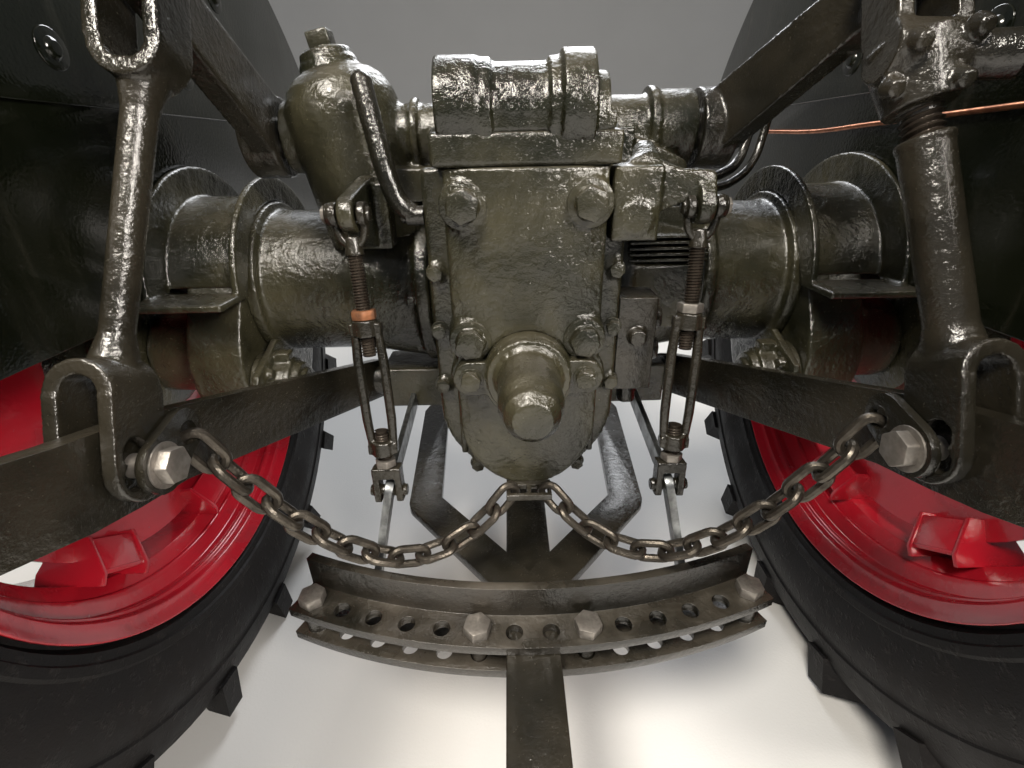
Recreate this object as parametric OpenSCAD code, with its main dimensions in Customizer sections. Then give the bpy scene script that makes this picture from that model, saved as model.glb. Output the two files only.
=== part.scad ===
// Rear axle unit of a farm tractor with three-point linkage, drawbar, mudguards and wheels.
// Lengths in mm. +X right, +Y forward, +Z up. The origin is the centre of the front flange.

/* [Axle and wheels] */
// Height of the wheel axle above the floor the tyres stand on
axle_h = 600; // [500:1:700]
// Gap between a mudguard's inner face and its tyre
guard_gap = 41; // [25:1:80]
// Radius over the lug tips
tyre_r = 600; // [560:1:640]
// Radius of the carcass between the lugs
carcass_r = 570; // [540:1:610]
// Section width of a tyre
tyre_w = 286; // [240:1:340]
// Radius of the rim flange
rim_r = 378; // [350:1:400]
// Outside width of the rim
rim_w = 262; // [220:1:300]
// Lugs on each half of the tread
lug_count = 18; // [12:1:26]
// Radius of the wheel disc
disc_r = 288; // [200:1:320]
// Brackets that join disc and rim
clip_count = 8; // [4:1:12]

/* [Axle casing] */
// Height of the casing's shaft line above the floor
trumpet_h = 685; // [620:1:760]
// Distance of the shaft line ahead of the wheel axle
trumpet_y = 50; // [0:1:100]
// Radius of an axle trumpet
trumpet_r = 98; // [70:1:120]
// Inner face of a final drive
drive_x = 350; // [300:1:380]
// Width of a final drive
drive_w = 68; // [50:1:80]

/* [Gear case] */
// Half width of the rear case
case_x = 92; // [70:1:120]
// Underside of the rear case above the floor
case_low = 470; // [430:1:520]
// Top of the rear case above the casing's shaft line
case_up = 153; // [135:1:180]
// Rear face of the case, behind the axle
case_rear = 130; // [100:1:160]
// Distance of the front flange ahead of the axle
flange_y = 560; // [450:1:700]
// Height of the front flange centre above the floor
flange_h = 700; // [650:1:750]
// Bolt circle of the front flange
flange_pcd = 370; // [300:1:400]
// Bolt holes in the front flange
flange_bolts = 8; // [6:1:12]
// Diameter of a bolt hole in the front flange
flange_hole_d = 14; // [10:0.5:18]

/* [Three-point linkage] */
// Lift shaft above the top of the rear case
shaft_up = 32; // [20:1:60]
// Radius of the lift shaft
shaft_r = 22; // [18:0.5:30]
// Radial clearance of a shaft in its bore
run_gap = 0.06; // [0.02:0.01:0.2]
// Gap between curved faces that rest on one another
seat = 0.3; // [0.1:0.1:0.6]
// Lift arm eye behind the lift shaft
arm_y = 185; // [150:1:240]
// Lift arm eye above the lift shaft
arm_z = 115; // [50:1:160]
// How far a lift rod leans out on its way down
rod_out = 35; // [20:1:50]
// How far a lower link swings out on its way to the lift rod
link_out = 98; // [80:1:120]
// Distance of the lift rod bolt behind the axle
link_y = 335; // [300:1:380]
// Height of the lift rod bolt above the floor
link_z = 632; // [560:1:700]
// Distance of a lower link's front pivot inside the final drive
pivot_in = 118; // [100:1:170]
// Distance of the front pivot ahead of the axle
pivot_y = 40; // [0:1:120]
// Height of the front pivot above the floor
pivot_z = 530; // [500:1:600]
// Distance of a lower link's ball behind the axle
ball_y = 700; // [600:1:900]
// How far a lower link's ball lies outside the lift rod's bolt
ball_out = 65; // [10:1:100]
// Thickness of a lower link
link_t = 18; // [12:1:24]
// Bore of a lower link's ball
ball_bore_d = 28.4; // [22:0.1:37]
// Width of a lower link's ball
ball_w = 44; // [38:1:48]
// Gap between the ears of a lift rod's fork
fork_gap = 28; // [24:1:40]
// Thickness of a fork's ear
fork_t = 12; // [8:1:16]

/* [Drawbar and quadrant] */
// Radius of the quadrant's rear edge
quad_r = 782; // [600:1:900]
// Distance of the drawbar's pivot ahead of the axle
quad_y = 480; // [350:1:500]
// Half width of the quadrant
quad_x = 297; // [220:1:320]
// Underside of the upper quadrant plate above the floor
quad_z = 341; // [320:1:380]
// Thickness of a quadrant plate
quad_t = 12; // [6:1:14]
// Width of the quadrant plates, inner to rear edge
quad_band = 53; // [40:1:70]
// Height of the quadrant's upright flange
quad_h = 55; // [30:1:70]
// Drawbar width
draw_w = 62; // [40:1:80]
// Drawbar thickness
draw_t = 27; // [16:1:32]
// Length of the drawbar behind the axle
draw_rear = 640; // [500:1:800]
// Drawbar pin hole
draw_hole_d = 30; // [20:1:32]
// Holes in each half of the quadrant
quad_holes = 6; // [4:1:8]
// Diameter of a hole in the quadrant
quad_hole_d = 20; // [12:1:24]

/* [Check chains and braces] */
// Wire of the check chains
chain_d = 8.5; // [6:0.5:12]
// Links in each check chain
chain_links = 13; // [11:2:19]
// Sag of a check chain under its chord
chain_sag = 125; // [80:1:180]
// Sideways place of the braces' top pins
brace_x = 176; // [150:1:200]
// Height of the chain bar above the underside of the rear case
chain_up = 11; // [8:1:30]

/* [Mudguards] */
// Distance of a mudguard's inner face outside the final drive
guard_off = 28; // [22:1:40]
// Radius of a mudguard's arch
guard_r = 668; // [640:1:720]
// Sheet thickness
guard_t = 3; // [2:0.5:5]
// Width of a mudguard
guard_w = 330; // [280:1:400]

/* [Hidden] */
$fn = 40;
green = [0.10, 0.12, 0.07];
green2 = [0.13, 0.16, 0.09];
blackish = [0.06, 0.07, 0.05];
red = [0.62, 0.05, 0.06];
steel = [0.55, 0.55, 0.53];
chain_c = [0.25, 0.23, 0.2];
rubber_c = [0.05, 0.05, 0.05];
copper = [0.6, 0.3, 0.15];
case_top = trumpet_h + case_up;
shaft_h = case_top + shaft_up;
cap_z = trumpet_h - 57;
guard_x = drive_x + drive_w + guard_off;
half_track = guard_x + guard_gap + tyre_w / 2;
pivot_x = drive_x - pivot_in;
link_x = pivot_x + link_out;
rod_top_x = link_x - rod_out;
ball_x = link_x + ball_out;
chain_z = case_low + chain_up;
rod_tilt = atan2(link_y - arm_y, shaft_h + arm_z - link_z);
link_tilt = atan2(link_z - pivot_z, link_y + pivot_y);
bend_y = -link_y + 50;
cap_y = -case_rear - 35;
brace_y = -150;
brace_z = case_top - 40;
pin_r = 7;
quad_in = quad_r - quad_band;
quad_mid = quad_r - 20;
hole_step = asin((quad_x - 26.4) / quad_mid) / (quad_holes + 0.5);
stay_x = brace_x - 8;
stay_y = quad_y - quad_in + 63;
stay_z = case_low + 16;

// The shapes are drawn over the floor under the axle and moved to the flange here
module to_flange() {
    translate([0, -flange_y, -flange_h]) children();
}

module at(x, y, z) {
    translate([x, y, z]) children();
}

// A round bar along X from x0 to x1
module rx(r, x0, x1, y = 0, z = 0) {
    translate([min(x0, x1), y, z]) rotate([0, 90, 0]) cylinder(r = r, h = abs(x1 - x0));
}

// A cone along X from x0 to x1
module cx(r0, r1, x0, x1, y, z) {
    translate([x0, y, z]) rotate([0, x1 > x0 ? 90 : -90, 0])
        cylinder(r1 = r0, r2 = r1, h = abs(x1 - x0));
}

// A round bar along Y from y0 to y1
module ry(r, y0, y1, x = 0, z = 0) {
    translate([x, min(y0, y1), z]) rotate([-90, 0, 0]) cylinder(r = r, h = abs(y1 - y0));
}

// A hexagon head along X or Y
module hex_x(r, x0, x1, y, z) {
    translate([min(x0, x1), y, z]) rotate([0, 90, 0]) cylinder(r = r, h = abs(x1 - x0), $fn = 6);
}

module hex_y(r, y0, y1, x, z) {
    translate([x, min(y0, y1), z]) rotate([-90, 0, 0]) cylinder(r = r, h = abs(y1 - y0), $fn = 6);
}

// A box given by its two corners
module bx(x0, x1, y0, y1, z0, z1) {
    translate([min(x0, x1), min(y0, y1), z0]) cube([abs(x1 - x0), abs(y1 - y0), z1 - z0]);
}

// Flat bar outline with round ends from p to q
module bar2(p, q, r1, r2) {
    d = norm(q - p);
    a = asin((r1 - r2) / d);
    translate(p) rotate(atan2(q[1] - p[1], q[0] - p[0])) {
        circle(r1);
        translate([d, 0]) circle(r2);
        polygon([[r1 * sin(a), r1 * cos(a)], [d + r2 * sin(a), r2 * cos(a)],
            [d + r2 * sin(a), -r2 * cos(a)], [r1 * sin(a), -r1 * cos(a)]]);
    }
}

// A plate drawn in the Y-Z plane, from x0 to x1
module plate_x(x0, x1) {
    translate([min(x0, x1), 0, 0]) multmatrix([[0, 0, 1, 0], [1, 0, 0, 0], [0, 1, 0, 0], [0, 0, 0, 1]])
        linear_extrude(abs(x1 - x0)) children();
}

// A plate drawn in the X-Z plane, from y0 back to y1
module plate_y(y0, y1) {
    translate([0, max(y0, y1), 0]) rotate([90, 0, 0]) linear_extrude(abs(y1 - y0)) children();
}

// A round bar between two points, run on by e at both ends
module rod3(p, q, r, e = 0) {
    d = q - p;
    translate(p) rotate([0, acos(d[2] / norm(d)), atan2(d[1], d[0])])
        translate([0, 0, -e]) cylinder(r = r, h = norm(d) + 2 * e);
}

module path3(pts, r) {
    for (i = [0 : len(pts) - 2]) rod3(pts[i], pts[i + 1], r, r * 0.4, $fn = 10);
}

// A flat bar in the upright plane through p and q, with round ends
module upright_bar(p, q, r1, r2, t) {
    d = [q[0] - p[0], q[1] - p[1]];
    translate([p[0], p[1], 0]) rotate(atan2(d[1], d[0])) translate([0, t / 2, 0]) rotate([90, 0, 0])
        linear_extrude(t) bar2([0, p[2]], [norm(d), q[2]], r1, r2);
}

// Half of the case outline in the X-Z plane
module case2(w, low, top) {
    translate([0, low + w]) circle(w);
    translate([-w, low + w]) square([2 * w, top - low - w]);
}

module gear_case() {
    color(green) to_flange() difference() {
        union() {
            plate_y(210, -case_rear + 20) case2(case_x, case_low, case_top);
            plate_y(-case_rear + 20, -case_rear) case2(case_x + 14, case_low - 8, case_top);
            bx(-130, 130, 195, flange_y - 115, flange_h - 140, case_top - 8);
            ry(165, flange_y - 140, flange_y - 20, 0, flange_h);
            ry(200, flange_y - 20, flange_y, 0, flange_h);
            for (s = [-1, 1]) {
                rx(118, s * 60, s * 118, trumpet_y, trumpet_h);
                for (p = [[case_x + 6, case_top - 104], [case_x + 8, case_low + 130],
                        [case_x - 28, case_low + 14]])
                    hex_y(9, -case_rear - 9, -case_rear, s * p[0], p[1]);
                bx(s * 70, s * (pivot_x - 20), pivot_y - 40, pivot_y + 40, pivot_z - 32, pivot_z + 32);
                rx(12, s * (pivot_x - 32), s * (pivot_x + 34), pivot_y, pivot_z);
                rx(22, s * (pivot_x + 20), s * (pivot_x + 34), pivot_y, pivot_z);
            }
        }
        ry(150, flange_y - 50, flange_y + 1, 0, flange_h);
        for (i = [0 : flange_bolts - 1]) {
            a = (i + 0.5) * 360 / flange_bolts;
            ry(flange_hole_d / 2, flange_y - 30, flange_y + 1, flange_pcd / 2 * cos(a),
                flange_h + flange_pcd / 2 * sin(a));
        }
    }
    color(steel) to_flange() ry(16, flange_y - 60, flange_y - 4, 0, flange_h);
}

module rear_cover() {
    color(green) to_flange() difference() {
        union() {
            intersection() {
                plate_y(-case_rear, -case_rear - 50) case2(80, case_low + 8, case_top);
                at(0, 92, 0) cylinder(r = 262, h = 900, $fn = 90);
            }
            plate_y(-case_rear, cap_y) cap2(4);
            for (s = [-1, 1]) for (z = [case_top - 33, trumpet_h - 18]) {
                ry(22, -case_rear, -case_rear - 36, s * 61, z);
                ry(18, -case_rear - 36, -case_rear - 39, s * 61, z);
                hex_y(15, -case_rear - 39, -case_rear - 50, s * 61, z);
            }
        }
        plate_y(cap_y, cap_y - 40) cap2(seat);
    }
}

// Outline of the shaft cap's flange, grown by g
module cap2(g) {
    translate([0, cap_z]) circle(50 + g);
    translate([0, cap_z]) bar2([-62, 0], [62, 0], 20 + g, 20 + g);
}

module shaft_cap() {
    color(green) to_flange() {
        plate_y(cap_y, cap_y - 16) cap2(0);
        ry(36, cap_y - 16, cap_y - 34, 0, cap_z + 7);
        ry(27, cap_y - 34, cap_y - 112, 0, cap_z + 7);
        at(0, cap_y - 112, cap_z + 7) rotate([90, 0, 0]) cylinder(r1 = 27, r2 = 18, h = 10);
        for (s = [-1, 1]) hex_y(11, cap_y - 16, cap_y - 27, s * 62, cap_z);
    }
}

module lift_cover() {
    color(green) to_flange() difference() {
        union() {
            bx(-90, 90, -165, 180, case_top, case_top + 30);
            bx(-78, 78, -50, 170, case_top + 20, case_top + 82);
            rx(47, -90, 90, 0, shaft_h);
        }
        bx(-100, 100, -100, 100, case_top - 138, case_top);
        rx(shaft_r + run_gap, -300, 300, 0, shaft_h);
    }
}

module top_link_bracket() {
    z0 = case_top + 30;
    color(green) to_flange() difference() {
        union() {
            bx(-82, 82, -165, -66, z0, z0 + 14);
            plate_x(-66, -36) bar2([-125, z0], [-128, z0 + 28], 36, 26);
            plate_x(36, 64) bar2([-125, z0], [-128, z0 + 34], 36, 26);
            plate_x(64, 80) bar2([-100, z0], [-100, z0 + 30], 26, 20);
            rx(36, -22, 24, -118, z0 + 16);
            rx(44, -36, -22, -116, z0 + 14);
            rx(44, 24, 36, -116, z0 + 14);
        }
        bx(-100, 100, -200, 0, z0 - 80, z0);
    }
}

module lift_shaft_housing() {
    color(green) to_flange() difference() {
        union() {
            rx(32, 90.3, 110, 0, shaft_h);
            rx(38, 92.3, rod_top_x - 95, 0, shaft_h);
            rx(43, rod_top_x - 145, rod_top_x - 95, 0, shaft_h);
            bx(92.3, 124, -105, 60, case_top - 32, case_top);
        }
        rx(shaft_r + run_gap, -300, 300, 0, shaft_h);
    }
}

module lift_cylinder_housing() {
    color(green) to_flange() difference() {
        union() {
            at(-200, -4, shaft_h) rotate_extrude() polygon([[0, -125], [64, -125], [64, 8], [60, 28],
                [50, 45], [36, 57], [25, 60], [25, 78], [19, 78], [19, 86], [0, 86]]);
            at(-200, -4, shaft_h + 100) cube([24, 24, 30], center = true);
            rx(31.5, -rod_top_x + 19, -90.3, 0, shaft_h);
            rx(34, -rod_top_x + 19, -92.3, 0, shaft_h);
            bx(-150, -92.3, -60, 50, case_top - 32, case_top - 6);
        }
        rx(shaft_r + run_gap, -300, 300, 0, shaft_h);
        rx(118 + seat, -148, -100, trumpet_y, trumpet_h);
        cx(112 + seat, trumpet_r + seat, -148, -230, trumpet_y, trumpet_h);
        rx(trumpet_r + seat, -230, -300, trumpet_y, trumpet_h);
    }
}

module control_rods() {
    z = case_top - 18;
    x = rod_top_x - 49;
    color(blackish) to_flange() {
        path3([[-160, -96, z + 95], [-150, -108, z + 50], [-140, -118, z + 10], [-128, -120, z - 17]], 9);
        rod3([-132, -120, z - 14], [-118, -120, z - 28], 8.5, 2, $fn = 10);
        rx(9.6, -case_x - 14, -122, -120, z - 28);
        path3([[x + 64, 72, z + 85], [x + 58, 72, z + 40], [x + 44, 66, z + 12], [x + 16, 50, z],
            [x - 10, 46, z]], 8);
        rx(8.8, 124, x, 46, z);
    }
}

module brace_brackets() {
    color(green) to_flange() {
        difference() {
            union() {
                plate_x(-brace_x - 8, -brace_x + 8) bar2([brace_y, brace_z], [-66, brace_z - 8], 17, 40);
                bx(-brace_x - 14, -151, -84, -40, brace_z - 46, brace_z + 24);
            }
            at(-200, -4, shaft_h - 170) cylinder(r = 64 + seat, h = 300);
            rx(118 + seat, -148, -100, trumpet_y, trumpet_h);
            cx(112 + seat, trumpet_r + seat, -148, -230, trumpet_y, trumpet_h);
            rx(pin_r + seat, -220, -100, brace_y, brace_z);
        }
        difference() {
            union() {
                bx(case_x + 14, 130, -155, -108, case_top - 70, case_top - 1);
                bx(84, 130, -163, -case_rear - seat, case_top - 70, case_top - 1);
                plate_y(-134, -154) bar2([112, case_top - 27], [brace_x - 1, brace_z + 24], 24, 10);
                plate_x(brace_x - 8, brace_x + 8) bar2([brace_y, brace_z], [-144, case_top - 18], 17, 12);
            }
            rx(pin_r + seat, 150, 220, brace_y, brace_z);
        }
    }
}

module valve_block() {
    z = trumpet_h - 15;
    color(blackish) to_flange() {
        bx(case_x + 14, 150, -128, -80, z - 85, z + 30);
        rx(14, 150, 160, -104, z);
        rx(14, 150, 160, -104, z - 40);
        ry(10, -128, -140, 128, z - 15);
        at(128, -104, z - 110) cylinder(r = 12, h = 26);
    }
}

module axle_trumpet(s) {
    color(green) to_flange() {
        rx(118, s * 118, s * 136, trumpet_y, trumpet_h);
        cx(112, trumpet_r, s * 136, s * 230, trumpet_y, trumpet_h);
        rx(trumpet_r, s * 230, s * (drive_x - 14), trumpet_y, trumpet_h);
        rx(trumpet_r + 12, s * (drive_x - 14), s * drive_x, trumpet_y, trumpet_h);
        for (a = [0 : 45 : 315])
            hex_x(9, s * 136, s * 146, trumpet_y + 106 * cos(a), trumpet_h + 106 * sin(a));
        if (s > 0) for (i = [0 : 4])
            at(s * 185 - 45, trumpet_y - 70 + 30 * i, trumpet_h + 60) cube([90, 5, 45 - 2 * abs(i - 2)]);
    }
}

module final_drive(s) {
    color(green) to_flange() difference() {
        union() {
            plate_x(s * drive_x, s * (drive_x + drive_w))
                bar2([trumpet_y, trumpet_h], [0, axle_h], trumpet_r + 12, 108);
            rx(58, s * (drive_x + drive_w), s * (half_track - 125), 0, axle_h);
            rx(66, s * (drive_x + drive_w), s * (drive_x + drive_w + 14), 0, axle_h);
        }
        rx(35 + run_gap, s * (drive_x + 20), s * (half_track - 110), 0, axle_h);
    }
}

module brake_housing(s) {
    x = drive_x;
    y = -64;
    z = axle_h - 28;
    color(green) to_flange() {
        rx(46, s * (x - 22), s * x, y, z);
        rx(36, s * (x - 44), s * (x - 22), y, z);
        rx(22, s * (x - 60), s * (x - 44), y, z);
        rx(11, s * (x - 67), s * (x - 60), y, z);
        for (a = [45 : 90 : 315])
            hex_x(7, s * (x - 28), s * (x - 22), y + 40 * cos(a), z + 40 * sin(a));
        bx(s * (x - 42), s * (x - 24), y - 9, y + 9, z + 26, z + 48);
    }
}

module guard_bracket(s) {
    z = trumpet_h + 10;
    color(green2) to_flange() {
        difference() {
            union() {
                rx(trumpet_r + 20, s * (drive_x - 10), s * guard_x, trumpet_y, trumpet_h);
                rx(trumpet_r + 58, s * (guard_x - 8), s * guard_x, trumpet_y, trumpet_h);
                rx(trumpet_r + 44, s * (drive_x - 10), s * (drive_x - 2), trumpet_y, trumpet_h);
            }
            plate_x(s * (drive_x - 20), s * (guard_x + 9))
                bar2([trumpet_y, trumpet_h], [0, axle_h], trumpet_r + 12 + seat, 108 + seat);
            bx(s * (drive_x - 150), s * (guard_x + 154), -200, 400, z - 395, z);
        }
        bx(s * (drive_x - 10), s * guard_x, trumpet_y - 184, trumpet_y - trumpet_r - 28, z, z + 8);
        bx(s * (drive_x - 10), s * guard_x, trumpet_y + trumpet_r + 14, trumpet_y + 176, z, z + 8);
    }
}

module mudguard(s) {
    color(green2) to_flange() {
        $fn = 180;
        difference() {
            rx(guard_r, s * guard_x, s * (guard_x + guard_w), 0, axle_h);
            rx(guard_r - guard_t, s * (guard_x + guard_t), s * (guard_x + guard_w + 1), 0, axle_h);
            bx(s * (guard_x - 46), s * (guard_x + 454), -800, 800, -300, trumpet_h + 2);
        }
        rx(18, s * (guard_x - 6), s * guard_x, -108, trumpet_h + 261);
        rx(18, s * (guard_x - 6), s * guard_x, 100, trumpet_h + 265);
    }
}

module copper_pipe() {
    x = guard_x - 3.3;
    z = trumpet_h + trumpet_r + 89;
    color(copper) to_flange() path3([[x, 300, z], [x, 150, z - 4], [x, 40, z], [x, -180, z + 8]], 3);
}

module drawbar_frame() {
    z = quad_z + 1;
    low = quad_z - draw_t - quad_t - 1;
    rear = quad_y - quad_in + 24;
    color(blackish) to_flange() {
        at(0, 0, z) linear_extrude(14) intersection() {
            union() for (s = [-1, 1]) {
                bar2([s * 8, rear], [s * 158, rear + 173], 25, 25);
                bar2([s * 158, rear + 173], [s * 178, quad_y - 240], 25, 25);
                bar2([s * 178, quad_y - 240], [s * 120, quad_y - 40], 25, 25);
            }
            translate([0, quad_y]) circle(quad_in - seat, $fn = 160);
        }
        bx(-150, 150, quad_y - 60, quad_y + 15, z, z + 14);
        for (s = [-1, 1]) bx(s * 80, s * 120, flange_y - 190, flange_y - 141, z + 14, flange_h - 140);
        bx(-35, 35, quad_y - 35, quad_y + 45, low - 2, low + 10);
        bx(-35, 35, quad_y + 33, quad_y + 45, low - 2, z + 8);
        at(0, quad_y, low) cylinder(r = 13, h = z - low + 24);
    }
}

module quad2(r0, r1, xw) {
    a = asin(xw / quad_r);
    translate([0, quad_y]) difference() {
        circle(r1, $fn = 160);
        circle(r0, $fn = 160);
        rotate(-90 + a) translate([0, 0]) square([900, 900]);
        rotate(180 - a) translate([0, 0]) square([900, 900]);
        translate([-900, 0]) square([1800, 900]);
    }
}

module quadrant() {
    low = quad_z - draw_t - 1;
    color(blackish) to_flange() {
        difference() {
            union() {
                at(0, 0, quad_z) linear_extrude(quad_t) quad2(quad_in, quad_r, quad_x);
                at(0, 0, quad_z) linear_extrude(quad_h) quad2(quad_in, quad_in + 11, quad_x);
                at(0, 0, low - quad_t) linear_extrude(quad_t) quad2(quad_in, quad_r, quad_x);
            }
            for (i = [-quad_holes : quad_holes - 1]) {
                a = (i + 0.5) * hole_step;
                at(quad_mid * sin(a), quad_y - quad_mid * cos(a), 250)
                    cylinder(r = quad_hole_d / 2, h = 200);
            }
        }
        for (s = [-1, 1]) {
            a = s * (quad_holes + 0.5) * hole_step;
            at(quad_mid * sin(a), quad_y - quad_mid * cos(a), low - 1) cylinder(r = 14, h = draw_t + 3);
        }
    }
    color(steel) to_flange() {
        for (k = [-1, 1]) {
            a = k * (quad_holes + 0.5) * hole_step;
            at(quad_mid * sin(a), quad_y - quad_mid * cos(a), quad_z + quad_t - 1)
                cylinder(r = 14, h = 12, $fn = 6);
            b = k * hole_step * 1.5;
            at(quad_mid * sin(b), quad_y - quad_mid * cos(b), low - quad_t - 9)
                cylinder(r = 9, h = draw_t + 2 * quad_t + 18);
            at(quad_mid * sin(b), quad_y - quad_mid * cos(b), quad_z + quad_t)
                cylinder(r = 14, h = 12, $fn = 6);
            at(quad_mid * sin(b), quad_y - quad_mid * cos(b), low - quad_t - 11)
                cylinder(r = 14, h = 11, $fn = 6);
        }
    }
}

module drawbar() {
    color(blackish) to_flange() difference() {
        at(0, 0, quad_z - draw_t - 0.5) linear_extrude(draw_t) {
            translate([-draw_w / 2, -draw_rear]) square([draw_w, draw_rear + quad_y]);
            translate([0, quad_y]) circle(draw_w / 2);
            translate([0, -draw_rear]) circle(draw_w / 2);
        }
        at(0, -draw_rear + 4, 200) cylinder(r = draw_hole_d / 2, h = 200);
        at(0, quad_y, 200) cylinder(r = 13 + seat, h = 200);
    }
}

module turnbuckle(s) {
    top = [s * brace_x, brace_y, brace_z - 24];
    low = [s * stay_x, stay_y, stay_z];
    d = top - low;
    len = norm(d);
    color(blackish) to_flange() {
        rx(pin_r, s * (brace_x - 22), s * (brace_x + 22), brace_y, brace_z);
        rx(11, s * (brace_x + 16), s * (brace_x + 22), brace_y, brace_z);
        for (t = [-1, 1]) at(s * brace_x + t * 13, brace_y, brace_z - 26) cylinder(r = 4, h = 28);
        bx(s * brace_x - 17, s * brace_x + 17, brace_y - 4, brace_y + 4, brace_z - 32, brace_z - 24);
        translate(low) rotate([-asin(d[1] / len), atan2(d[0], d[2]), 0]) {
            at(0, 0, 20) cylinder(r = 8, h = 50);
            at(0, 0, 200) cylinder(r = 8, h = len - 204);
            for (t = [-1, 1]) at(t * 14 - 4, -9, 50) cube([8, 18, 150]);
            at(-18, -9, 50) cube([36, 18, 16]);
            at(-18, -9, 190) cube([36, 18, 16]);
            at(0, 0, 206) cylinder(r = 13, h = 10, $fn = 6);
            at(0, 0, 18) cylinder(r = 12, h = 24);
            for (t = [-1, 1]) at(t * 13 - 4, -10, -12) cube([8, 20, 42]);
            at(-17, -10, 18) cube([34, 20, 14]);
        }
        rx(pin_r, s * (stay_x - 22), s * (stay_x + 22), stay_y, stay_z);
    }
}

module stay_straps() {
    color(blackish) to_flange() for (s = [-1, 1]) difference() {
        union() {
            intersection() {
                at(s * stay_x, stay_y, stay_z) rotate([-3, s * -13, 0]) {
                    at(-4.5, -13, quad_z - stay_z - 5) cube([9, 26, stay_z - quad_z + 5]);
                    rx(13, -4.5, 4.5);
                }
                at(0, quad_y, quad_z) cylinder(r = quad_in - seat, h = 400, $fn = 160);
            }
            plate_x(s * (stay_x - 3.5), s * (stay_x + 3.5))
                bar2([stay_y, stay_z], [pivot_y - 20, pivot_z - 18], 12, 12);
        }
        rx(pin_r + seat, s * 100, s * 250, stay_y, stay_z);
        bx(s * 150, s * 220, pivot_y - 40, pivot_y + 60, pivot_z - 150, pivot_z + 70);
    }
}

module chain_bar() {
    color(blackish) to_flange() difference() {
        bx(-27, 27, -200, -140, chain_z - 5, chain_z + 2.5);
        at(0, 92, 400) cylinder(r = 262 + seat, h = 200, $fn = 90);
        for (s = [-1, 1]) bx(s * 2.5, s * 22.4, -194, -179, 400, 600);
    }
}

module lift_shaft() {
    color(steel) to_flange() rx(shaft_r, -rod_top_x - 27, rod_top_x - 47, 0, shaft_h);
}

module lift_arm(s) {
    x0 = s < 0 ? 13 - rod_top_x : rod_top_x - 89;
    x1 = s < 0 ? -27 - rod_top_x : rod_top_x - 47;
    xe = s * rod_top_x;
    color(blackish) to_flange() difference() {
        union() {
            rx(44, x0, x1, 0, shaft_h);
            if (s < 0) plate_x(xe - 13, xe + 13) bar2([0, shaft_h], [-arm_y, shaft_h + arm_z], 36, 24);
            if (s > 0) {
                upright_bar([rod_top_x - 66, -6, shaft_h],
                    [xe - 8, -arm_y + 54, shaft_h + arm_z - 33], 34, 25, 30);
                plate_x(xe - 13, xe + 13)
                    bar2([-arm_y + 54, shaft_h + arm_z - 33], [-arm_y, shaft_h + arm_z], 27, 24);
            }
        }
        rx(shaft_r + run_gap, -400, 400, 0, shaft_h);
        rx(10 + run_gap, xe - 60, xe + 60, -arm_y, shaft_h + arm_z);
    }
}

module lift_rod(s) {
    color(blackish) to_flange() {
        translate([s * rod_top_x, -arm_y, shaft_h + arm_z]) rotate([-rod_tilt, 0, 0]) {
            rx(10, -32, 32);
            for (t = [-1, 1]) plate_x(t * 16, t * 28) bar2([0, 0], [0, -76], 20, 20);
            at(-28, -20, -92) cube([56, 40, 28]);
        }
        rod3([s * rod_top_x, -arm_y - 32, shaft_h + arm_z - 78],
            [s * link_x, -link_y + 30, link_z + 74], s > 0 ? 17.5 : 12);
        translate([s * link_x, -link_y, link_z]) rotate([-rod_tilt, 0, 0]) {
            at(-fork_gap / 2 - fork_t, -38, 62) cube([fork_gap + 2 * fork_t, 60, 24]);
            for (t = [-1, 1]) plate_x(t * fork_gap / 2, t * (fork_gap / 2 + fork_t)) difference() {
                union() {
                    translate([-8, 3]) circle(29);
                    translate([-37, 3]) square([52, 66]);
                }
                bar2([0, 0], [-17.3, 13.8], 11.5, 11.4);
                bar2([0.2, -1], [-17.3, -4.2], 11.5, 11.4);
            }
        }
    }
}

// Unit normal of a way from p to q in plan, and the mitre between two normals
function side_of(p, q) = [p[1] - q[1], q[0] - p[0]] / norm(q - p);
function mitre(a, b) = (a + b) / (1 + a * b);

// Plan of a lower link, bent at both ends of its straight middle
module link_plan(s) {
    p = [[s * pivot_x, pivot_y], [s * link_x, bend_y], [s * link_x, -2 * link_y - bend_y],
        [s * ball_x, -ball_y]];
    a = p[0] + (p[0] - p[1]) / norm(p[0] - p[1]) * 40;
    b = p[3] + (p[3] - p[2]) / norm(p[3] - p[2]) * 40;
    n = [for (i = [0 : 2]) side_of(p[i], p[i + 1]) * link_t / 2];
    m = [for (i = [0, 1]) mitre(n[i] * 2 / link_t, n[i + 1] * 2 / link_t) * link_t / 2];
    polygon([a + n[0], p[1] + m[0], p[2] + m[1], b + n[2], b - n[2], p[2] - m[1], p[1] - m[0], a - n[0]]);
}

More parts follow.
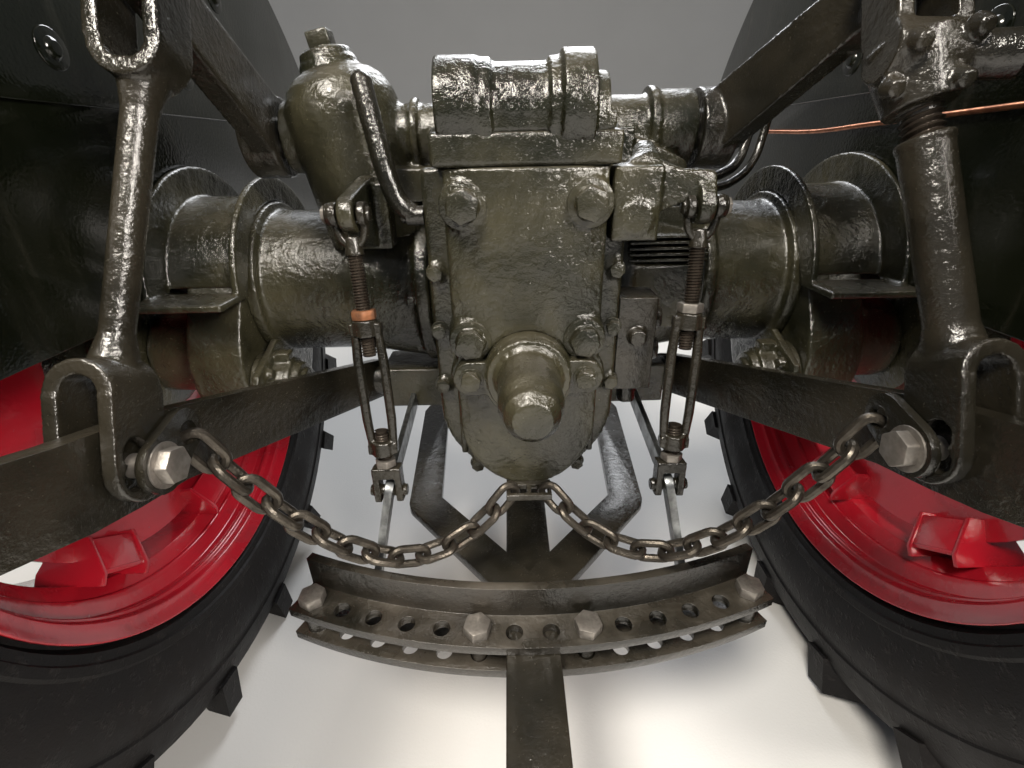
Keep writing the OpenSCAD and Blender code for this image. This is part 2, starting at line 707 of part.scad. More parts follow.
module lower_link(s) {
    bz = link_z + (ball_y - link_y) * tan(link_tilt);
    c = [-link_y, link_z];
    color(blackish) to_flange() difference() {
        union() {
            intersection() {
                at(0, 0, pivot_z - 130) linear_extrude(500) link_plan(s);
                plate_x(s * 100, s * 500) {
                    bar2([pivot_y, pivot_z], c, 30, 36);
                    bar2(c, [-ball_y, bz], 35.8, 28);
                }
            }
            at(s * ball_x, -ball_y, bz) intersection() {
                sphere(36);
                cube([ball_w, 80, 80], center = true);
            }
            rx(26, s * (pivot_x - 16), s * (pivot_x + 16), pivot_y, pivot_z);
        }
        rx(12.06, s * (pivot_x - 82), s * (pivot_x + 58), pivot_y, pivot_z);
        rx(ball_bore_d / 2, s * ball_x - 60, s * ball_x + 60, -ball_y, bz);
    }
    color(steel) to_flange() {
        rx(10, s * (link_x - 34), s * (link_x + 44), -link_y, link_z);
        hex_x(17, s * (link_x - 34), s * (link_x - 47), -link_y, link_z);
        hex_x(17, s * (link_x + 28), s * (link_x + 42), -link_y, link_z);
    }
    color(blackish) to_flange() difference() {
        plate_x(s * (link_x - 28.3), s * (link_x - 34))
            bar2(c, [-link_y + 33, link_z + 10.5], 22, 17.8);
        rx(11, s * (link_x - 50), s * link_x, -link_y + 36, link_z + 8);
    }
}

// One flat-sided chain link along Z
module chain_link(long, d) {
    w = 11 + d / 2;
    rotate([90, 0, 0]) translate([0, 0, -d * 0.42]) linear_extrude(d * 0.84) difference() {
        union() {
            for (t = [-1, 1]) translate([0, t * (long / 2 - w)]) circle(w, $fn = 24);
            square([2 * w, long - 2 * w], center = true);
        }
        for (t = [-1, 1]) translate([0, t * (long / 2 - w)]) circle(w - d, $fn = 18);
        square([2 * (w - d), long - 2 * w], center = true);
    }
}

// Slope of a check chain at the share t of its way
function chain_m(t, rise, run) = (rise - 4 * chain_sag * (1 - 2 * t)) / run;

// Share of the way after n links
function chain_t(n, rise, run, pitch) = n <= 0 ? 0 : chain_t(n - 1, rise, run, pitch)
    + pitch / run / sqrt(1 + pow(chain_m(chain_t(n - 1, rise, run, pitch) + 0.02, rise, run), 2));

function chain_p(a, b, t) = a * (1 - t) + b * t - [0, 0, 4 * chain_sag * t * (1 - t)];

// Length of a check chain from a to b, summed over n steps
function chain_len(a, b, n, i = 0) = i >= n ? 0
    : norm(chain_p(a, b, (i + 1) / n) - chain_p(a, b, i / n)) + chain_len(a, b, n, i + 1);

module check_chain(s) {
    a = [link_x - 29.4, -link_y + 37.2, link_z - 0.1];
    b = [21.1, -188, chain_z + 3.8];
    run = norm([b[0] - a[0], b[1] - a[1]]);
    chain_pitch = chain_len(a, b, 60) / chain_links * 0.99844;
    color(chain_c) to_flange() for (i = [0 : chain_links - 1]) {
        p = chain_p(a, b, chain_t(i, b[2] - a[2], run, chain_pitch));
        q = chain_p(a, b, chain_t(i + 1, b[2] - a[2], run, chain_pitch));
        d = q - p;
        c = (p + q) / 2;
        translate([s * c[0], c[1], c[2]]) rotate([0, 0, atan2(d[1], s * d[0])])
            rotate([0, acos(d[2] / norm(d)), 0])
            rotate(i % 2 == 0 ? 0 : 90) chain_link(chain_pitch + 1.5 + 2 * chain_d, chain_d);
    }
}

module tyre(s) {
    w = tyre_w / 2;
    e = rim_w / 2;
    color(rubber_c) to_flange() translate([s * half_track, 0, axle_h]) rotate([0, 90, 0]) {
        rotate_extrude($fn = 54) polygon([[rim_r - 15, 14.5 - e], [rim_r + 3, 14.5 - e], [rim_r + 8, 1 - e],
            [rim_r + 80, -w + 1], [carcass_r - 36, -w + 10], [carcass_r - 10, -w + 34], [carcass_r, 0],
            [carcass_r - 10, w - 34], [carcass_r - 36, w - 10], [rim_r + 80, w - 1], [rim_r + 8, e - 1],
            [rim_r + 3, e - 14.5], [rim_r - 15, e - 14.5]]);
        for (i = [0 : lug_count - 1]) for (t = [0, 1])
            rotate(s * (i + 0.13 + t / 2) * 360 / lug_count) translate([carcass_r - 36, 0, 0])
                rotate([0, 90, 0]) scale([t == 0 ? 1 : -1, s, 1])
                hull() linear_extrude(tyre_r - carcass_r + 32.5, scale = [0.99, 0.9])
                polygon([[-7, -66], [26, -46], [w - 1, 18], [w - 1, 60], [w - 44, 46], [-7, -36]]);
    }
}

module rim(s) {
    w = rim_w / 2;
    color(red) to_flange() translate([s * half_track, 0, axle_h]) rotate([0, 90, 0]) {
        rotate_extrude($fn = 96) polygon([[rim_r - 22, -w + 14], [rim_r - 8, -w + 8], [rim_r - 3, -w],
            [rim_r, -w + 3], [rim_r - 4, -w + 12], [rim_r - 16, -w + 13.5], [rim_r - 18, -w + 44],
            [rim_r - 56, -w + 74], [rim_r - 56, w - 74], [rim_r - 18, w - 44], [rim_r - 16, w - 13.5],
            [rim_r - 4, w - 12], [rim_r, w - 3], [rim_r - 3, w], [rim_r - 8, w - 8], [rim_r - 22, w - 14],
            [rim_r - 24, w - 46], [rim_r - 62, w - 78], [rim_r - 62, -w + 78], [rim_r - 24, -w + 46]]);
    }
}

module hub(s) {
    xd = half_track - 46;
    color(red) to_flange() {
        rx(disc_r, s * xd, s * (xd + 10), 0, axle_h);
        intersection() {
            rx(rim_r - 62 - seat, s * (xd - 40), s * (xd + 60), 0, axle_h);
            for (i = [0 : clip_count - 1]) translate([0, 0, axle_h]) rotate([i * 360 / clip_count + 10, 0, 0])
                translate([s * (xd + 3) - 32, 0, 0]) {
                    for (t = [-1, 1]) at(0, t * 34 - 4, disc_r - 30) cube([64, 8, 80]);
                    at(0, -36, disc_r + 8) cube([64, 72, 8]);
                }
        }
    }
    color(green) to_flange() {
        rx(84, s * (half_track - 120), s * xd, 0, axle_h);
        rx(35, s * (drive_x + 50), s * (half_track - 120), 0, axle_h);
    }
    color(steel) to_flange() for (i = [0 : 7])
        hex_x(12, s * (xd - 12), s * xd, 110 * cos(i * 45), axle_h + 110 * sin(i * 45));
}

gear_case();
rear_cover();
shaft_cap();
lift_cover();
top_link_bracket();
lift_shaft_housing();
lift_cylinder_housing();
control_rods();
brace_brackets();
valve_block();
axle_trumpet(-1);  // axle_trumpet_left
axle_trumpet(1);  // axle_trumpet_right
final_drive(-1);  // final_drive_left
final_drive(1);  // final_drive_right
brake_housing(-1);  // brake_housing_left
brake_housing(1);  // brake_housing_right
guard_bracket(-1);  // guard_bracket_left
guard_bracket(1);  // guard_bracket_right
mudguard(-1);  // mudguard_left
mudguard(1);  // mudguard_right
copper_pipe();
drawbar_frame();
quadrant();
drawbar();
turnbuckle(-1);  // turnbuckle_left
turnbuckle(1);  // turnbuckle_right
stay_straps();
chain_bar();
lift_shaft();
lift_arm(-1);  // lift_arm_left
lift_arm(1);  // lift_arm_right
lift_rod(-1);  // lift_rod_left
lift_rod(1);  // lift_rod_right
lower_link(-1);  // lower_link_left
lower_link(1);  // lower_link_right
check_chain(-1);  // check_chain_left
check_chain(1);  // check_chain_right
tyre(-1);  // tyre_left
rim(-1);  // rim_left
hub(-1);  // hub_left
tyre(1);  // tyre_right
rim(1);  // rim_right
hub(1);  // hub_right
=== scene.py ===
# %% [markdown]
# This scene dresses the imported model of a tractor's rear axle with its lift linkage. The model is the frame:
# it fixes every size and place, and the scene adds paint, rounded casting edges, bolts, threads and chains.
# Lengths are written in millimetres over the floor, because they can be compared with a tape measure.

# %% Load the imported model
import math
import bmesh
import bpy
from mathutils import Matrix, Vector


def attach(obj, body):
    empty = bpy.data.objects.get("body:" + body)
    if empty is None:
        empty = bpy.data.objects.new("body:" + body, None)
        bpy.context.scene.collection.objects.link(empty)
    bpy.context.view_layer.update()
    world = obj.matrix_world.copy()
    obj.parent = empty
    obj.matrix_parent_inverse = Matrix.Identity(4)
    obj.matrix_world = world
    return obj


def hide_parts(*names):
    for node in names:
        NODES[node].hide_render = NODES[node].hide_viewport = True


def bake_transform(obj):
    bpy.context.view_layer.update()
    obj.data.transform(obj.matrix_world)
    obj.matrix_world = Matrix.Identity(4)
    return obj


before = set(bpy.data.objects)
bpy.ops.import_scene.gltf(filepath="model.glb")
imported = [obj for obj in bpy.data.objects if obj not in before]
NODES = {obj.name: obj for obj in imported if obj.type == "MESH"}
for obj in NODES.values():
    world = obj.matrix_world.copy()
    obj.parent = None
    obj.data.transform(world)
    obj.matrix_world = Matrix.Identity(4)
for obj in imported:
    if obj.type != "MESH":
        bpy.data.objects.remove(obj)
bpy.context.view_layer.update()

# %% [markdown]
# The model's origin is the centre of the front bolt flange, 560 mm ahead of the wheel axle and 700 mm over
# the floor. One helper turns millimetres over the floor into the model's metres.

# %% Places in millimetres over the floor
MM = 0.001
FLANGE_Y, FLANGE_H = 560.0, 700.0  # the front bolt flange
WHEEL_X, WHEEL_H = 630, 600  # middle of the right wheel
TUBE_Y, TUBE_H = 50, 685  # middle line of the axle casings
PIN_Y, PIN_H = -185, 985  # upper pins of the lift rods
BOLT_Y, BOLT_H = -335, 632  # bolts that join the lift rods to the lower links


def at(x, y, z):
    """A place over the floor in millimetres, in the model's metres."""
    return Vector((x * MM, (y - FLANGE_Y) * MM, (z - FLANGE_H) * MM))


print("floor at z =", round(at(0, 0, 0).z, 3), "m")

# %% [markdown]
# The camera stands where the photographer stood, low behind the machine and looking down between the wheels.
# Its place and its wide lens were found by fitting the red rims, so it is written as numbers here.

# %% Camera at the photograph's view
EYE = at(-17.8, -653.5, 852.4)
PITCH, YAW, ROLL = math.radians(26.0), math.radians(0.01), math.radians(-1.254)
SENSOR, FOCAL, PHOTO_WIDTH = 36.0, 480.3, 1024  # the sensor in millimetres, the others in pixels
look = Vector((math.sin(YAW) * math.cos(PITCH), math.cos(YAW) * math.cos(PITCH), -math.sin(PITCH)))
right = Vector((math.cos(YAW), -math.sin(YAW), 0.0))
above = right.cross(look)
right, above = (math.cos(ROLL) * right + math.sin(ROLL) * above,
                -math.sin(ROLL) * right + math.cos(ROLL) * above)
turn = Matrix((right, above, -look)).transposed().to_4x4()
lens = bpy.data.cameras.new("photo_lens")
lens.sensor_width, lens.lens, lens.clip_start = SENSOR, SENSOR * FOCAL / PHOTO_WIDTH, 0.01
camera = bpy.data.objects.new("photo_camera", lens)
camera.matrix_world = Matrix.Translation(EYE) @ turn
bpy.context.collection.objects.link(camera)
bpy.context.scene.camera = camera
print("lens", round(lens.lens, 2), "mm")

# %% [markdown]
# A finish is a small tree of shader nodes. Writing its sums as Python expressions keeps them readable, so a
# value that comes out of a node is wrapped in a class whose plus and times add the Math nodes.

# %% Shader values that can be added and multiplied


class Value:
    """One output socket of a material's tree."""

    def __init__(self, coat, socket):
        self.coat, self.socket = coat, socket

    def _sum(self, kind, a, b):
        return self.coat.node("ShaderNodeMath", {"operation": kind}, {0: a, 1: b})

    def __add__(self, other):
        return self._sum("ADD", self, other)

    def __radd__(self, other):
        return self._sum("ADD", other, self)

    def __sub__(self, other):
        return self._sum("SUBTRACT", self, other)

    def __rsub__(self, other):
        return self._sum("SUBTRACT", other, self)

    def __mul__(self, other):
        return self._sum("MULTIPLY", self, other)

    def __rmul__(self, other):
        return self._sum("MULTIPLY", other, self)

    def ramp(self, low, high):
        """0 below low, 1 above high, smooth between."""
        return self.coat.node("ShaderNodeMapRange", {"interpolation_type": "SMOOTHSTEP"},
                              {"Value": self, "From Min": low, "From Max": high})


class Coat:
    """A material that is built up node by node."""

    def __init__(self, name):
        self.material = bpy.data.materials.new(name)
        self.material.use_nodes = True
        self.tree = self.material.node_tree
        self.tree.nodes.clear()
        self.skin = self.tree.nodes.new("ShaderNodeBsdfPrincipled")
        out = self.tree.nodes.new("ShaderNodeOutputMaterial")
        self.tree.links.new(self.skin.outputs[0], out.inputs[0])
        place = self.tree.nodes.new("ShaderNodeTexCoord")
        self.place = Value(self, place.outputs["Object"])

    def node(self, kind, settings=None, sockets=None, out=0):
        made = self.tree.nodes.new(kind)
        for key, value in (settings or {}).items():
            if key == "stops":
                ramp = made.color_ramp
                while len(ramp.elements) < len(value):
                    ramp.elements.new(0.5)
                for element, (where, colour) in zip(ramp.elements, value):
                    element.position, element.color = where, colour
            else:
                setattr(made, key, value)
        for key, value in (sockets or {}).items():
            self.plug(made.inputs[key], value)
        return Value(self, made.outputs[out])

    def plug(self, socket, value):
        if isinstance(value, Value):
            self.tree.links.new(value.socket, socket)
        elif hasattr(value, "__len__") and len(value) == 3 and socket.type == "RGBA":
            socket.default_value = (*value, 1.0)
        else:
            socket.default_value = value

    def noise(self, scale, detail=3.0, rough=0.5, place=None):
        return self.node("ShaderNodeTexNoise", None, {"Vector": place or self.place, "Scale": scale,
                                                     "Detail": detail, "Roughness": rough})

    def mix(self, share, a, b, blend="MIX"):
        made = self.tree.nodes.new("ShaderNodeMix")
        made.data_type, made.blend_type = "RGBA", blend
        self.plug(made.inputs["Factor"], share)
        self.plug(made.inputs[6], a)
        self.plug(made.inputs[7], b)
        return Value(self, made.outputs[2])

    def facing_up(self):
        """1 where the surface looks up at the sky, 0 where it looks down."""
        normal = self.node("ShaderNodeNewGeometry", None, None, "Normal")
        return self.node("ShaderNodeSeparateXYZ", None, {0: normal}, 2)

    def bump(self, height, depth, strength=1.0, over=None):
        sockets = {"Height": height, "Distance": depth, "Strength": strength}
        if over is not None:
            sockets["Normal"] = over
        return self.node("ShaderNodeBump", None, sockets)

    def set(self, **sockets):
        for key, value in sockets.items():
            self.plug(self.skin.inputs[key.replace("_", " ")], value)
        return self.material


print("shader helpers ready")

# %% [markdown]
# The castings wear many thick coats of gloss paint over rough iron, so light breaks up on soft lumps. Two
# sizes of noise raise the skin, sagging paint and the sand texture of the iron. Others tint it with worn
# patches, fine specks and the dust that settles on what faces up.

# %% Paint on cast iron


def cast_paint(name, deep, pale, lump=0.0030, grain=0.0017, dust=0.20, gloss=0.14):
    """Gloss paint on rough iron; lump and grain are heights in metres, dust is the share it can cover."""
    coat = Coat(name)
    grit, dirt = (0.10, 0.085, 0.06), (0.17, 0.145, 0.11)
    sag = coat.noise(38, 2, 0.5)
    sand = coat.noise(150, 4, 0.62)
    patch = coat.noise(7, 3, 0.6).ramp(0.35, 0.68)
    speck = coat.noise(330, 1).ramp(0.70, 0.80)
    settled = coat.facing_up().ramp(0.3, 0.95) * coat.noise(13, 4, 0.6).ramp(0.25, 0.8)
    tone = coat.mix(patch, deep, pale)
    tone = coat.mix(speck * 0.12, tone, grit)
    tone = coat.mix(settled * dust, tone, dirt)
    skin = coat.bump(sag * lump + sand * grain, 1.0)
    rough = gloss + patch * 0.09 + settled * (dust * 1.1) + speck * 0.15
    return coat.set(Base_Color=tone, Roughness=rough, Normal=skin, Coat_Weight=0.12, Coat_Roughness=0.12,
                    IOR=1.62)


GREEN_CAST = cast_paint("thick green paint on castings", (0.0085, 0.0090, 0.0048), (0.043, 0.039, 0.022))
BLACK_FORGED = cast_paint("dark paint on forgings", (0.0075, 0.0070, 0.0048), (0.024, 0.0205, 0.0140),
                          lump=0.0014, grain=0.0013, dust=0.10, gloss=0.15)
DUSTY_PLATE = cast_paint("dusty dark paint on plates", (0.0085, 0.0080, 0.0058), (0.034, 0.029, 0.023),
                         lump=0.0010, grain=0.0013, dust=0.28, gloss=0.13)
print("cast paints ready")

# %% [markdown]
# The mudguards are pressed sheet. Their paint lies flat, with a faint orange peel, long pale runs and a
# little dust that settled where the sheet leans back.

# %% Paint on sheet


def sheet_paint(name, deep, pale):
    coat = Coat(name)
    peel = coat.noise(240, 1, 0.5)
    wave = coat.noise(6, 1, 0.4)
    drawn_out = coat.node("ShaderNodeMapping", None, {"Vector": coat.place, "Scale": (40.0, 40.0, 3.0)})
    streak = coat.noise(1.0, 4, 0.6, drawn_out).ramp(0.48, 0.8)
    cloud = coat.noise(4, 3, 0.5).ramp(0.3, 0.8)
    tone = coat.mix(cloud, deep, pale)
    tone = coat.mix(streak * 0.16, tone, (0.10, 0.09, 0.065))
    tone = coat.mix(coat.facing_up().ramp(0.1, 0.9) * 0.06, tone, (0.12, 0.11, 0.08))
    skin = coat.bump(wave * 0.005 + peel * 0.0003, 1.0)
    rough = 0.14 + streak * 0.12 + cloud * 0.08
    return coat.set(Base_Color=tone, Roughness=rough, Normal=skin, Coat_Weight=0.2, Coat_Roughness=0.06)


GREEN_SHEET = sheet_paint("green paint on sheet", (0.0028, 0.0038, 0.0018), (0.0070, 0.0080, 0.0040))
print("sheet paint ready")

# %% [markdown]
# The rims are a deep gloss red with brown road film in patches and small dark chips.

# %% Red wheel paint


def wheel_paint():
    coat = Coat("red wheel paint")
    peel = coat.noise(180, 1, 0.5)
    film = coat.noise(11, 4, 0.65).ramp(0.45, 0.75)
    chips = coat.noise(75, 3, 0.7).ramp(0.70, 0.74)
    tone = coat.mix(film * 0.55, (0.36, 0.008, 0.018), (0.15, 0.010, 0.014))
    tone = coat.mix(chips * 0.5, tone, (0.07, 0.02, 0.018))
    skin = coat.bump(coat.noise(16, 2) * 0.0014 + peel * 0.0003, 1.0)
    return coat.set(Base_Color=tone, Roughness=0.2 + film * 0.22 + chips * 0.2, Normal=skin,
                    Coat_Weight=0.45, Coat_Roughness=0.1)


WHEEL_RED = wheel_paint()
print("wheel paint ready")

# %% [markdown]
# Rubber is nearly black and rough. Pale dust stays in its pores and on the lugs, and faint rings from the
# mould run round the sidewall; those are made by the mesh, so the finish only needs dust and pores.

# %% Dusty rubber


def rubber():
    coat = Coat("dusty black rubber")
    pores = coat.noise(380, 2, 0.6)
    cloud = coat.noise(9, 4, 0.65).ramp(0.4, 0.75)
    scuff = coat.noise(60, 3, 0.7).ramp(0.52, 0.75)
    tone = coat.mix(cloud * 0.5, (0.0034, 0.0029, 0.0031), (0.014, 0.0118, 0.0112))
    tone = coat.mix(scuff * 0.2, tone, (0.045, 0.039, 0.036))
    skin = coat.bump(pores * 0.0004 + scuff * 0.0009, 1.0)
    return coat.set(Base_Color=tone, Roughness=0.55 + cloud * 0.25 - pores * 0.1, Normal=skin,
                    Specular_IOR_Level=0.22)


RUBBER = rubber()
print("rubber ready")

# %% [markdown]
# Bare metal comes in seven kinds here: grey zinc on new bolts, orange rust on one lock nut, bright steel
# straps, dark steel chains, threads with brown grease, a copper pipe gone dull and an oiled shaft.

# %% Bare metals


def metal(name, shine, dull, roughness, speck=220.0, rust=0.0, depth=0.00015, metallic=1.0):
    """Bare metal in clouds of shine and dull with stains of rust; depth is the grain's, in metres."""
    coat = Coat(name)
    cloud = coat.noise(45, 3, 0.7).ramp(0.3, 0.7)
    grain = coat.noise(speck, 2, 0.7)
    stain = coat.noise(90, 3, 0.75).ramp(0.55, 0.75)
    tone = coat.mix(cloud, shine, dull)
    tone = coat.mix(stain * rust, tone, (0.085, 0.034, 0.014))
    skin = coat.bump(grain, depth)
    return coat.set(Base_Color=tone, Roughness=roughness + cloud * 0.14 + stain * (rust * 0.4), Normal=skin,
                    Metallic=metallic - stain * (rust * 0.6))


ZINC = metal("grey zinc on bolts", (0.33, 0.305, 0.275), (0.17, 0.155, 0.138), 0.40,
             speck=300, rust=0.12, depth=0.0003, metallic=0.75)
RUSTED = metal("orange rust on a nut", (0.26, 0.10, 0.04), (0.07, 0.035, 0.02), 0.5,
               speck=240, rust=0.3, depth=0.0006, metallic=0.3)
STRAP = metal("bright strap steel", (0.40, 0.42, 0.43), (0.22, 0.23, 0.235), 0.33, speck=160, rust=0.12)
CHAIN = metal("dark chain steel", (0.120, 0.105, 0.086), (0.046, 0.040, 0.032), 0.27,
              speck=420, rust=0.2, depth=0.0005, metallic=0.8)
GREASED = metal("greased thread", (0.060, 0.048, 0.037), (0.026, 0.020, 0.015), 0.26,
                speck=500, rust=0.2, depth=0.0004, metallic=0.6)
COPPER = metal("dull copper", (0.50, 0.20, 0.10), (0.22, 0.085, 0.045), 0.33, speck=300, rust=0.1)
SHAFT_STEEL = metal("oiled shaft steel", (0.25, 0.24, 0.22), (0.14, 0.13, 0.115), 0.3, speck=200, rust=0.2)
print("bare metals ready")

# %% [markdown]
# Every new piece starts as a bmesh, which is a mesh that operators can cut and round. When it is ready it
# becomes an object that rides on a body of the model, with its sharp edges marked for clean shading.

# %% From bmesh to a riding piece


def settle(name, bm, finish, body, crease=35.0, replaces=(), mend=True):
    """Turns a bmesh into a piece of the scene and lets the bmesh go."""
    if mend:
        bmesh.ops.remove_doubles(bm, verts=bm.verts, dist=1e-6)
        bmesh.ops.recalc_face_normals(bm, faces=bm.faces)
    mesh = bpy.data.meshes.new(name)
    bm.to_mesh(mesh)
    bm.free()
    mesh.materials.append(finish)
    mesh.shade_smooth()
    mesh.set_sharp_from_angle(angle=math.radians(crease))
    piece = bpy.data.objects.new(name, mesh)
    bpy.context.collection.objects.link(piece)
    if body:
        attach(piece, body)
    if replaces:
        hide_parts(*replaces)
    return piece


def evaluated(piece):
    """Replaces a piece's mesh by what its modifiers make of it."""
    graph = bpy.context.evaluated_depsgraph_get()
    finish = piece.data.materials[0]
    made = bpy.data.meshes.new_from_object(piece.evaluated_get(graph))
    piece.modifiers.clear()
    old, piece.data = piece.data, made
    bpy.data.meshes.remove(old)
    made.materials.clear()
    made.materials.append(finish)
    return piece


def copy_of(*names):
    """The named CAD solids as one bmesh, with the loose triangles joined."""
    bm = bmesh.new()
    for name in names:
        bm.from_mesh(NODES[name].data)
    bmesh.ops.remove_doubles(bm, verts=bm.verts, dist=1e-5)
    return bm


def take_in(bm, other):
    """Adds what another bmesh holds and lets that one go."""
    spare = bpy.data.meshes.new("spare")
    other.to_mesh(spare)
    other.free()
    bm.from_mesh(spare)
    bpy.data.meshes.remove(spare)


# %% [markdown]
# A sand casting has no sharp edge: every corner is filleted and every face a little uneven. Remeshing the
# plain solids to small voxels and relaxing them gives just that, and it welds bosses and ribs that were only
# pushed into one another. The relaxed skin lies a hair inside the old one, so the sizes hold.

# %% Castings by voxel skin


def cast(name, bm, finish, body, grain, relax, keep=1.0, replaces=()):
    """A soft-edged piece: voxels of grain millimetres, relaxed, with the share keep of its faces."""
    piece = settle(name, bm, finish, body, replaces=replaces, mend=False)
    skin = piece.modifiers.new("skin", "REMESH")
    skin.mode, skin.voxel_size = "VOXEL", grain * MM
    smooth = piece.modifiers.new("relax", "SMOOTH")
    smooth.factor, smooth.iterations = 0.5, relax
    if keep < 1:
        thin = piece.modifiers.new("thin", "DECIMATE")
        thin.ratio = keep
    evaluated(piece)
    piece.data.shade_smooth()
    print(name, len(piece.data.polygons), "faces")
    return piece


print("casting maker ready")

# %% [markdown]
# Plates and bars are sawn or rolled steel: flat faces with a narrow rounded edge. A copy of the solid gets
# its triangles dissolved into whole faces, and then a bevel runs along what is left sharp.

# %% Plates by bevelled copies


def plate(name, bm, finish, body, width, replaces=(), steps=2, sharp=32.0):
    """A flat-faced piece whose sharp edges get a bevel of some width in millimetres."""
    bmesh.ops.dissolve_limit(bm, angle_limit=math.radians(1.0), verts=bm.verts, edges=bm.edges)
    piece = settle(name, bm, finish, body, replaces=replaces)
    edge = piece.modifiers.new("edge", "BEVEL")
    edge.width, edge.segments, edge.limit_method = width * MM, steps, "ANGLE"
    edge.angle_limit, edge.use_clamp_overlap = math.radians(sharp), True
    evaluated(piece)
    piece.data.shade_smooth()
    piece.data.set_sharp_from_angle(angle=math.radians(38))
    return piece


print("plate maker ready")

# %% [markdown]
# The small shapes that everything else is put together from: a round bar, a block, a revolved profile, a
# hexagon head with its washer, and a screw thread. Each is drawn in millimetres in a frame of its own, which
# by default is the ground frame. A tilted frame lets a leaning part be drawn upright.

# %% Small shapes
GROUND = Matrix.Translation(at(0, 0, 0)) @ Matrix.Scale(MM, 4)


def aim(p, q):
    """A frame that stands at p with its Z axis towards q."""
    p, q = Vector(p), Vector(q)
    return Matrix.Translation(p) @ (q - p).to_track_quat("Z", "Y").to_matrix().to_4x4()


def bar(bm, p, q, r, r2=None, m=GROUND, n=24):
    """A round bar or cone from p to q."""
    long = (Vector(q) - Vector(p)).length
    stand = m @ aim(p, q) @ Matrix.Translation((0, 0, long / 2))
    return bmesh.ops.create_cone(bm, cap_ends=True, segments=n, radius1=r, radius2=r if r2 is None else r2,
                                 depth=long, matrix=stand)["verts"]


def block(bm, low, high, m=GROUND):
    """A box between two corners."""
    low, high = Vector(low), Vector(high)
    size = high - low
    m = m @ Matrix.Translation((low + high) / 2) @ Matrix.Diagonal((*map(abs, size), 1))
    return bmesh.ops.create_cube(bm, size=1.0, matrix=m)["verts"]


def slab(bm, outline, axis, low, high, m=GROUND):
    """A flat plate: an outline in the plane across an axis (0, 1 or 2), from low to high along it."""
    def put(u, v, w):
        return m @ Vector({0: (w, u, v), 1: (u, w, v), 2: (u, v, w)}[axis])
    face = bm.faces.new([bm.verts.new(put(u, v, low)) for u, v in outline])
    grown = bmesh.ops.extrude_face_region(bm, geom=[face])["geom"]
    verts = [g for g in grown if isinstance(g, bmesh.types.BMVert)]
    bmesh.ops.translate(bm, verts=verts, vec=put(0, 0, high) - put(0, 0, low))
    return list(face.verts) + verts


def stadium(p, q, r1, r2, n=10):
    """Outline of a bar with round ends, from p to q."""
    p, q = Vector(p), Vector(q)
    way, lean = (q - p).normalized(), math.asin((r1 - r2) / (q - p).length)
    base = math.atan2(way.y, way.x)
    first = [p + r1 * Vector((math.cos(a), math.sin(a))) for a in
             [base + math.pi / 2 - lean + (math.pi + 2 * lean) * i / n for i in range(n + 1)]]
    last = [q + r2 * Vector((math.cos(a), math.sin(a))) for a in
            [base - math.pi / 2 + lean + (math.pi - 2 * lean) * i / n for i in range(n + 1)]]
    return [tuple(v) for v in first + last]


def revolve(bm, points, centre, axis, steps=96, m=GROUND):
    """Spins a closed outline of (along, radius) pairs round an axis through a centre."""
    axis, centre = Vector(axis).normalized(), Vector(centre)
    out = axis.orthogonal().normalized()
    ring = [bm.verts.new(m @ (centre + axis * a + out * r)) for a, r in points]
    edges = [bm.edges.new((ring[i], ring[(i + 1) % len(ring)])) for i in range(len(ring))]
    bmesh.ops.spin(bm, geom=ring + edges, cent=m @ centre, axis=(m.to_3x3() @ axis).normalized(),
                   angle=math.tau, steps=steps, use_merge=True, use_duplicate=False)


def soften(bm, verts, width, steps=2, sharp=30.0):
    """Bevels the sharp edges among some vertices."""
    chosen = set(verts)
    edges = {e for v in verts for e in v.link_edges if all(u in chosen for u in e.verts)
             and len(e.link_faces) == 2 and e.calc_face_angle(0) > math.radians(sharp)}
    bmesh.ops.bevel(bm, geom=list(edges), offset=width * MM, offset_type="OFFSET", segments=steps,
                    profile=0.5, affect="EDGES", clamp_overlap=True, material=-1)


def hex_head(bm, spot, axis, across, tall, washer=0.0, thick=3.0, spin=0.0, m=GROUND):
    """A hexagon head or nut, tall along its axis and across its flats, on a washer if that has a width."""
    spot, axis = Vector(spot), Vector(axis).normalized()
    if washer:
        soften(bm, bar(bm, spot, spot + axis * thick, washer / 2, None, m, 32), 0.6)
        spot = spot + axis * thick
    r = across / math.sqrt(3)
    stand = m @ aim(spot, spot + axis) @ Matrix.Rotation(math.radians(spin), 4, "Z")
    stand = stand @ Matrix.Translation((0, 0, tall / 2))
    head = bmesh.ops.create_cone(bm, cap_ends=True, segments=6, radius1=r, radius2=r, depth=tall,
                                 matrix=stand)
    soften(bm, head["verts"], across * 0.05)


def bolt_circle(bm, count, first, centre, r, axis, *head, spin=0):
    """Hexagon heads on a circle across X, the first at an angle, each turned further than the last."""
    x, y, z = centre
    for i in range(count):
        a = math.radians(i * 360 / count + first)
        hex_head(bm, (x, y + r * math.cos(a), z + r * math.sin(a)), axis, *head, spin=spin * i)


def thread(bm, p, q, r, pitch, m=GROUND, steps=20):
    """A screw thread: a zigzag edge that is spun one turn while it climbs one pitch."""
    p, q = Vector(p), Vector(q)
    count = max(2, int((q - p).length / pitch))
    stand = m @ aim(p, q)
    line = [bm.verts.new(stand @ Vector((r - (0 if i % 2 else pitch * 0.55), 0, i * pitch / 2)))
            for i in range(count * 2)]
    edges = [bm.edges.new((line[i], line[i + 1])) for i in range(len(line) - 1)]
    climb = m.to_3x3() @ ((q - p).normalized() * (pitch / steps))
    bmesh.ops.spin(bm, geom=line + edges, cent=m @ p, axis=climb.normalized(), angle=math.tau, steps=steps,
                   dvec=climb, use_duplicate=False)
    bar(bm, p, q, r - pitch * 0.5, None, m)


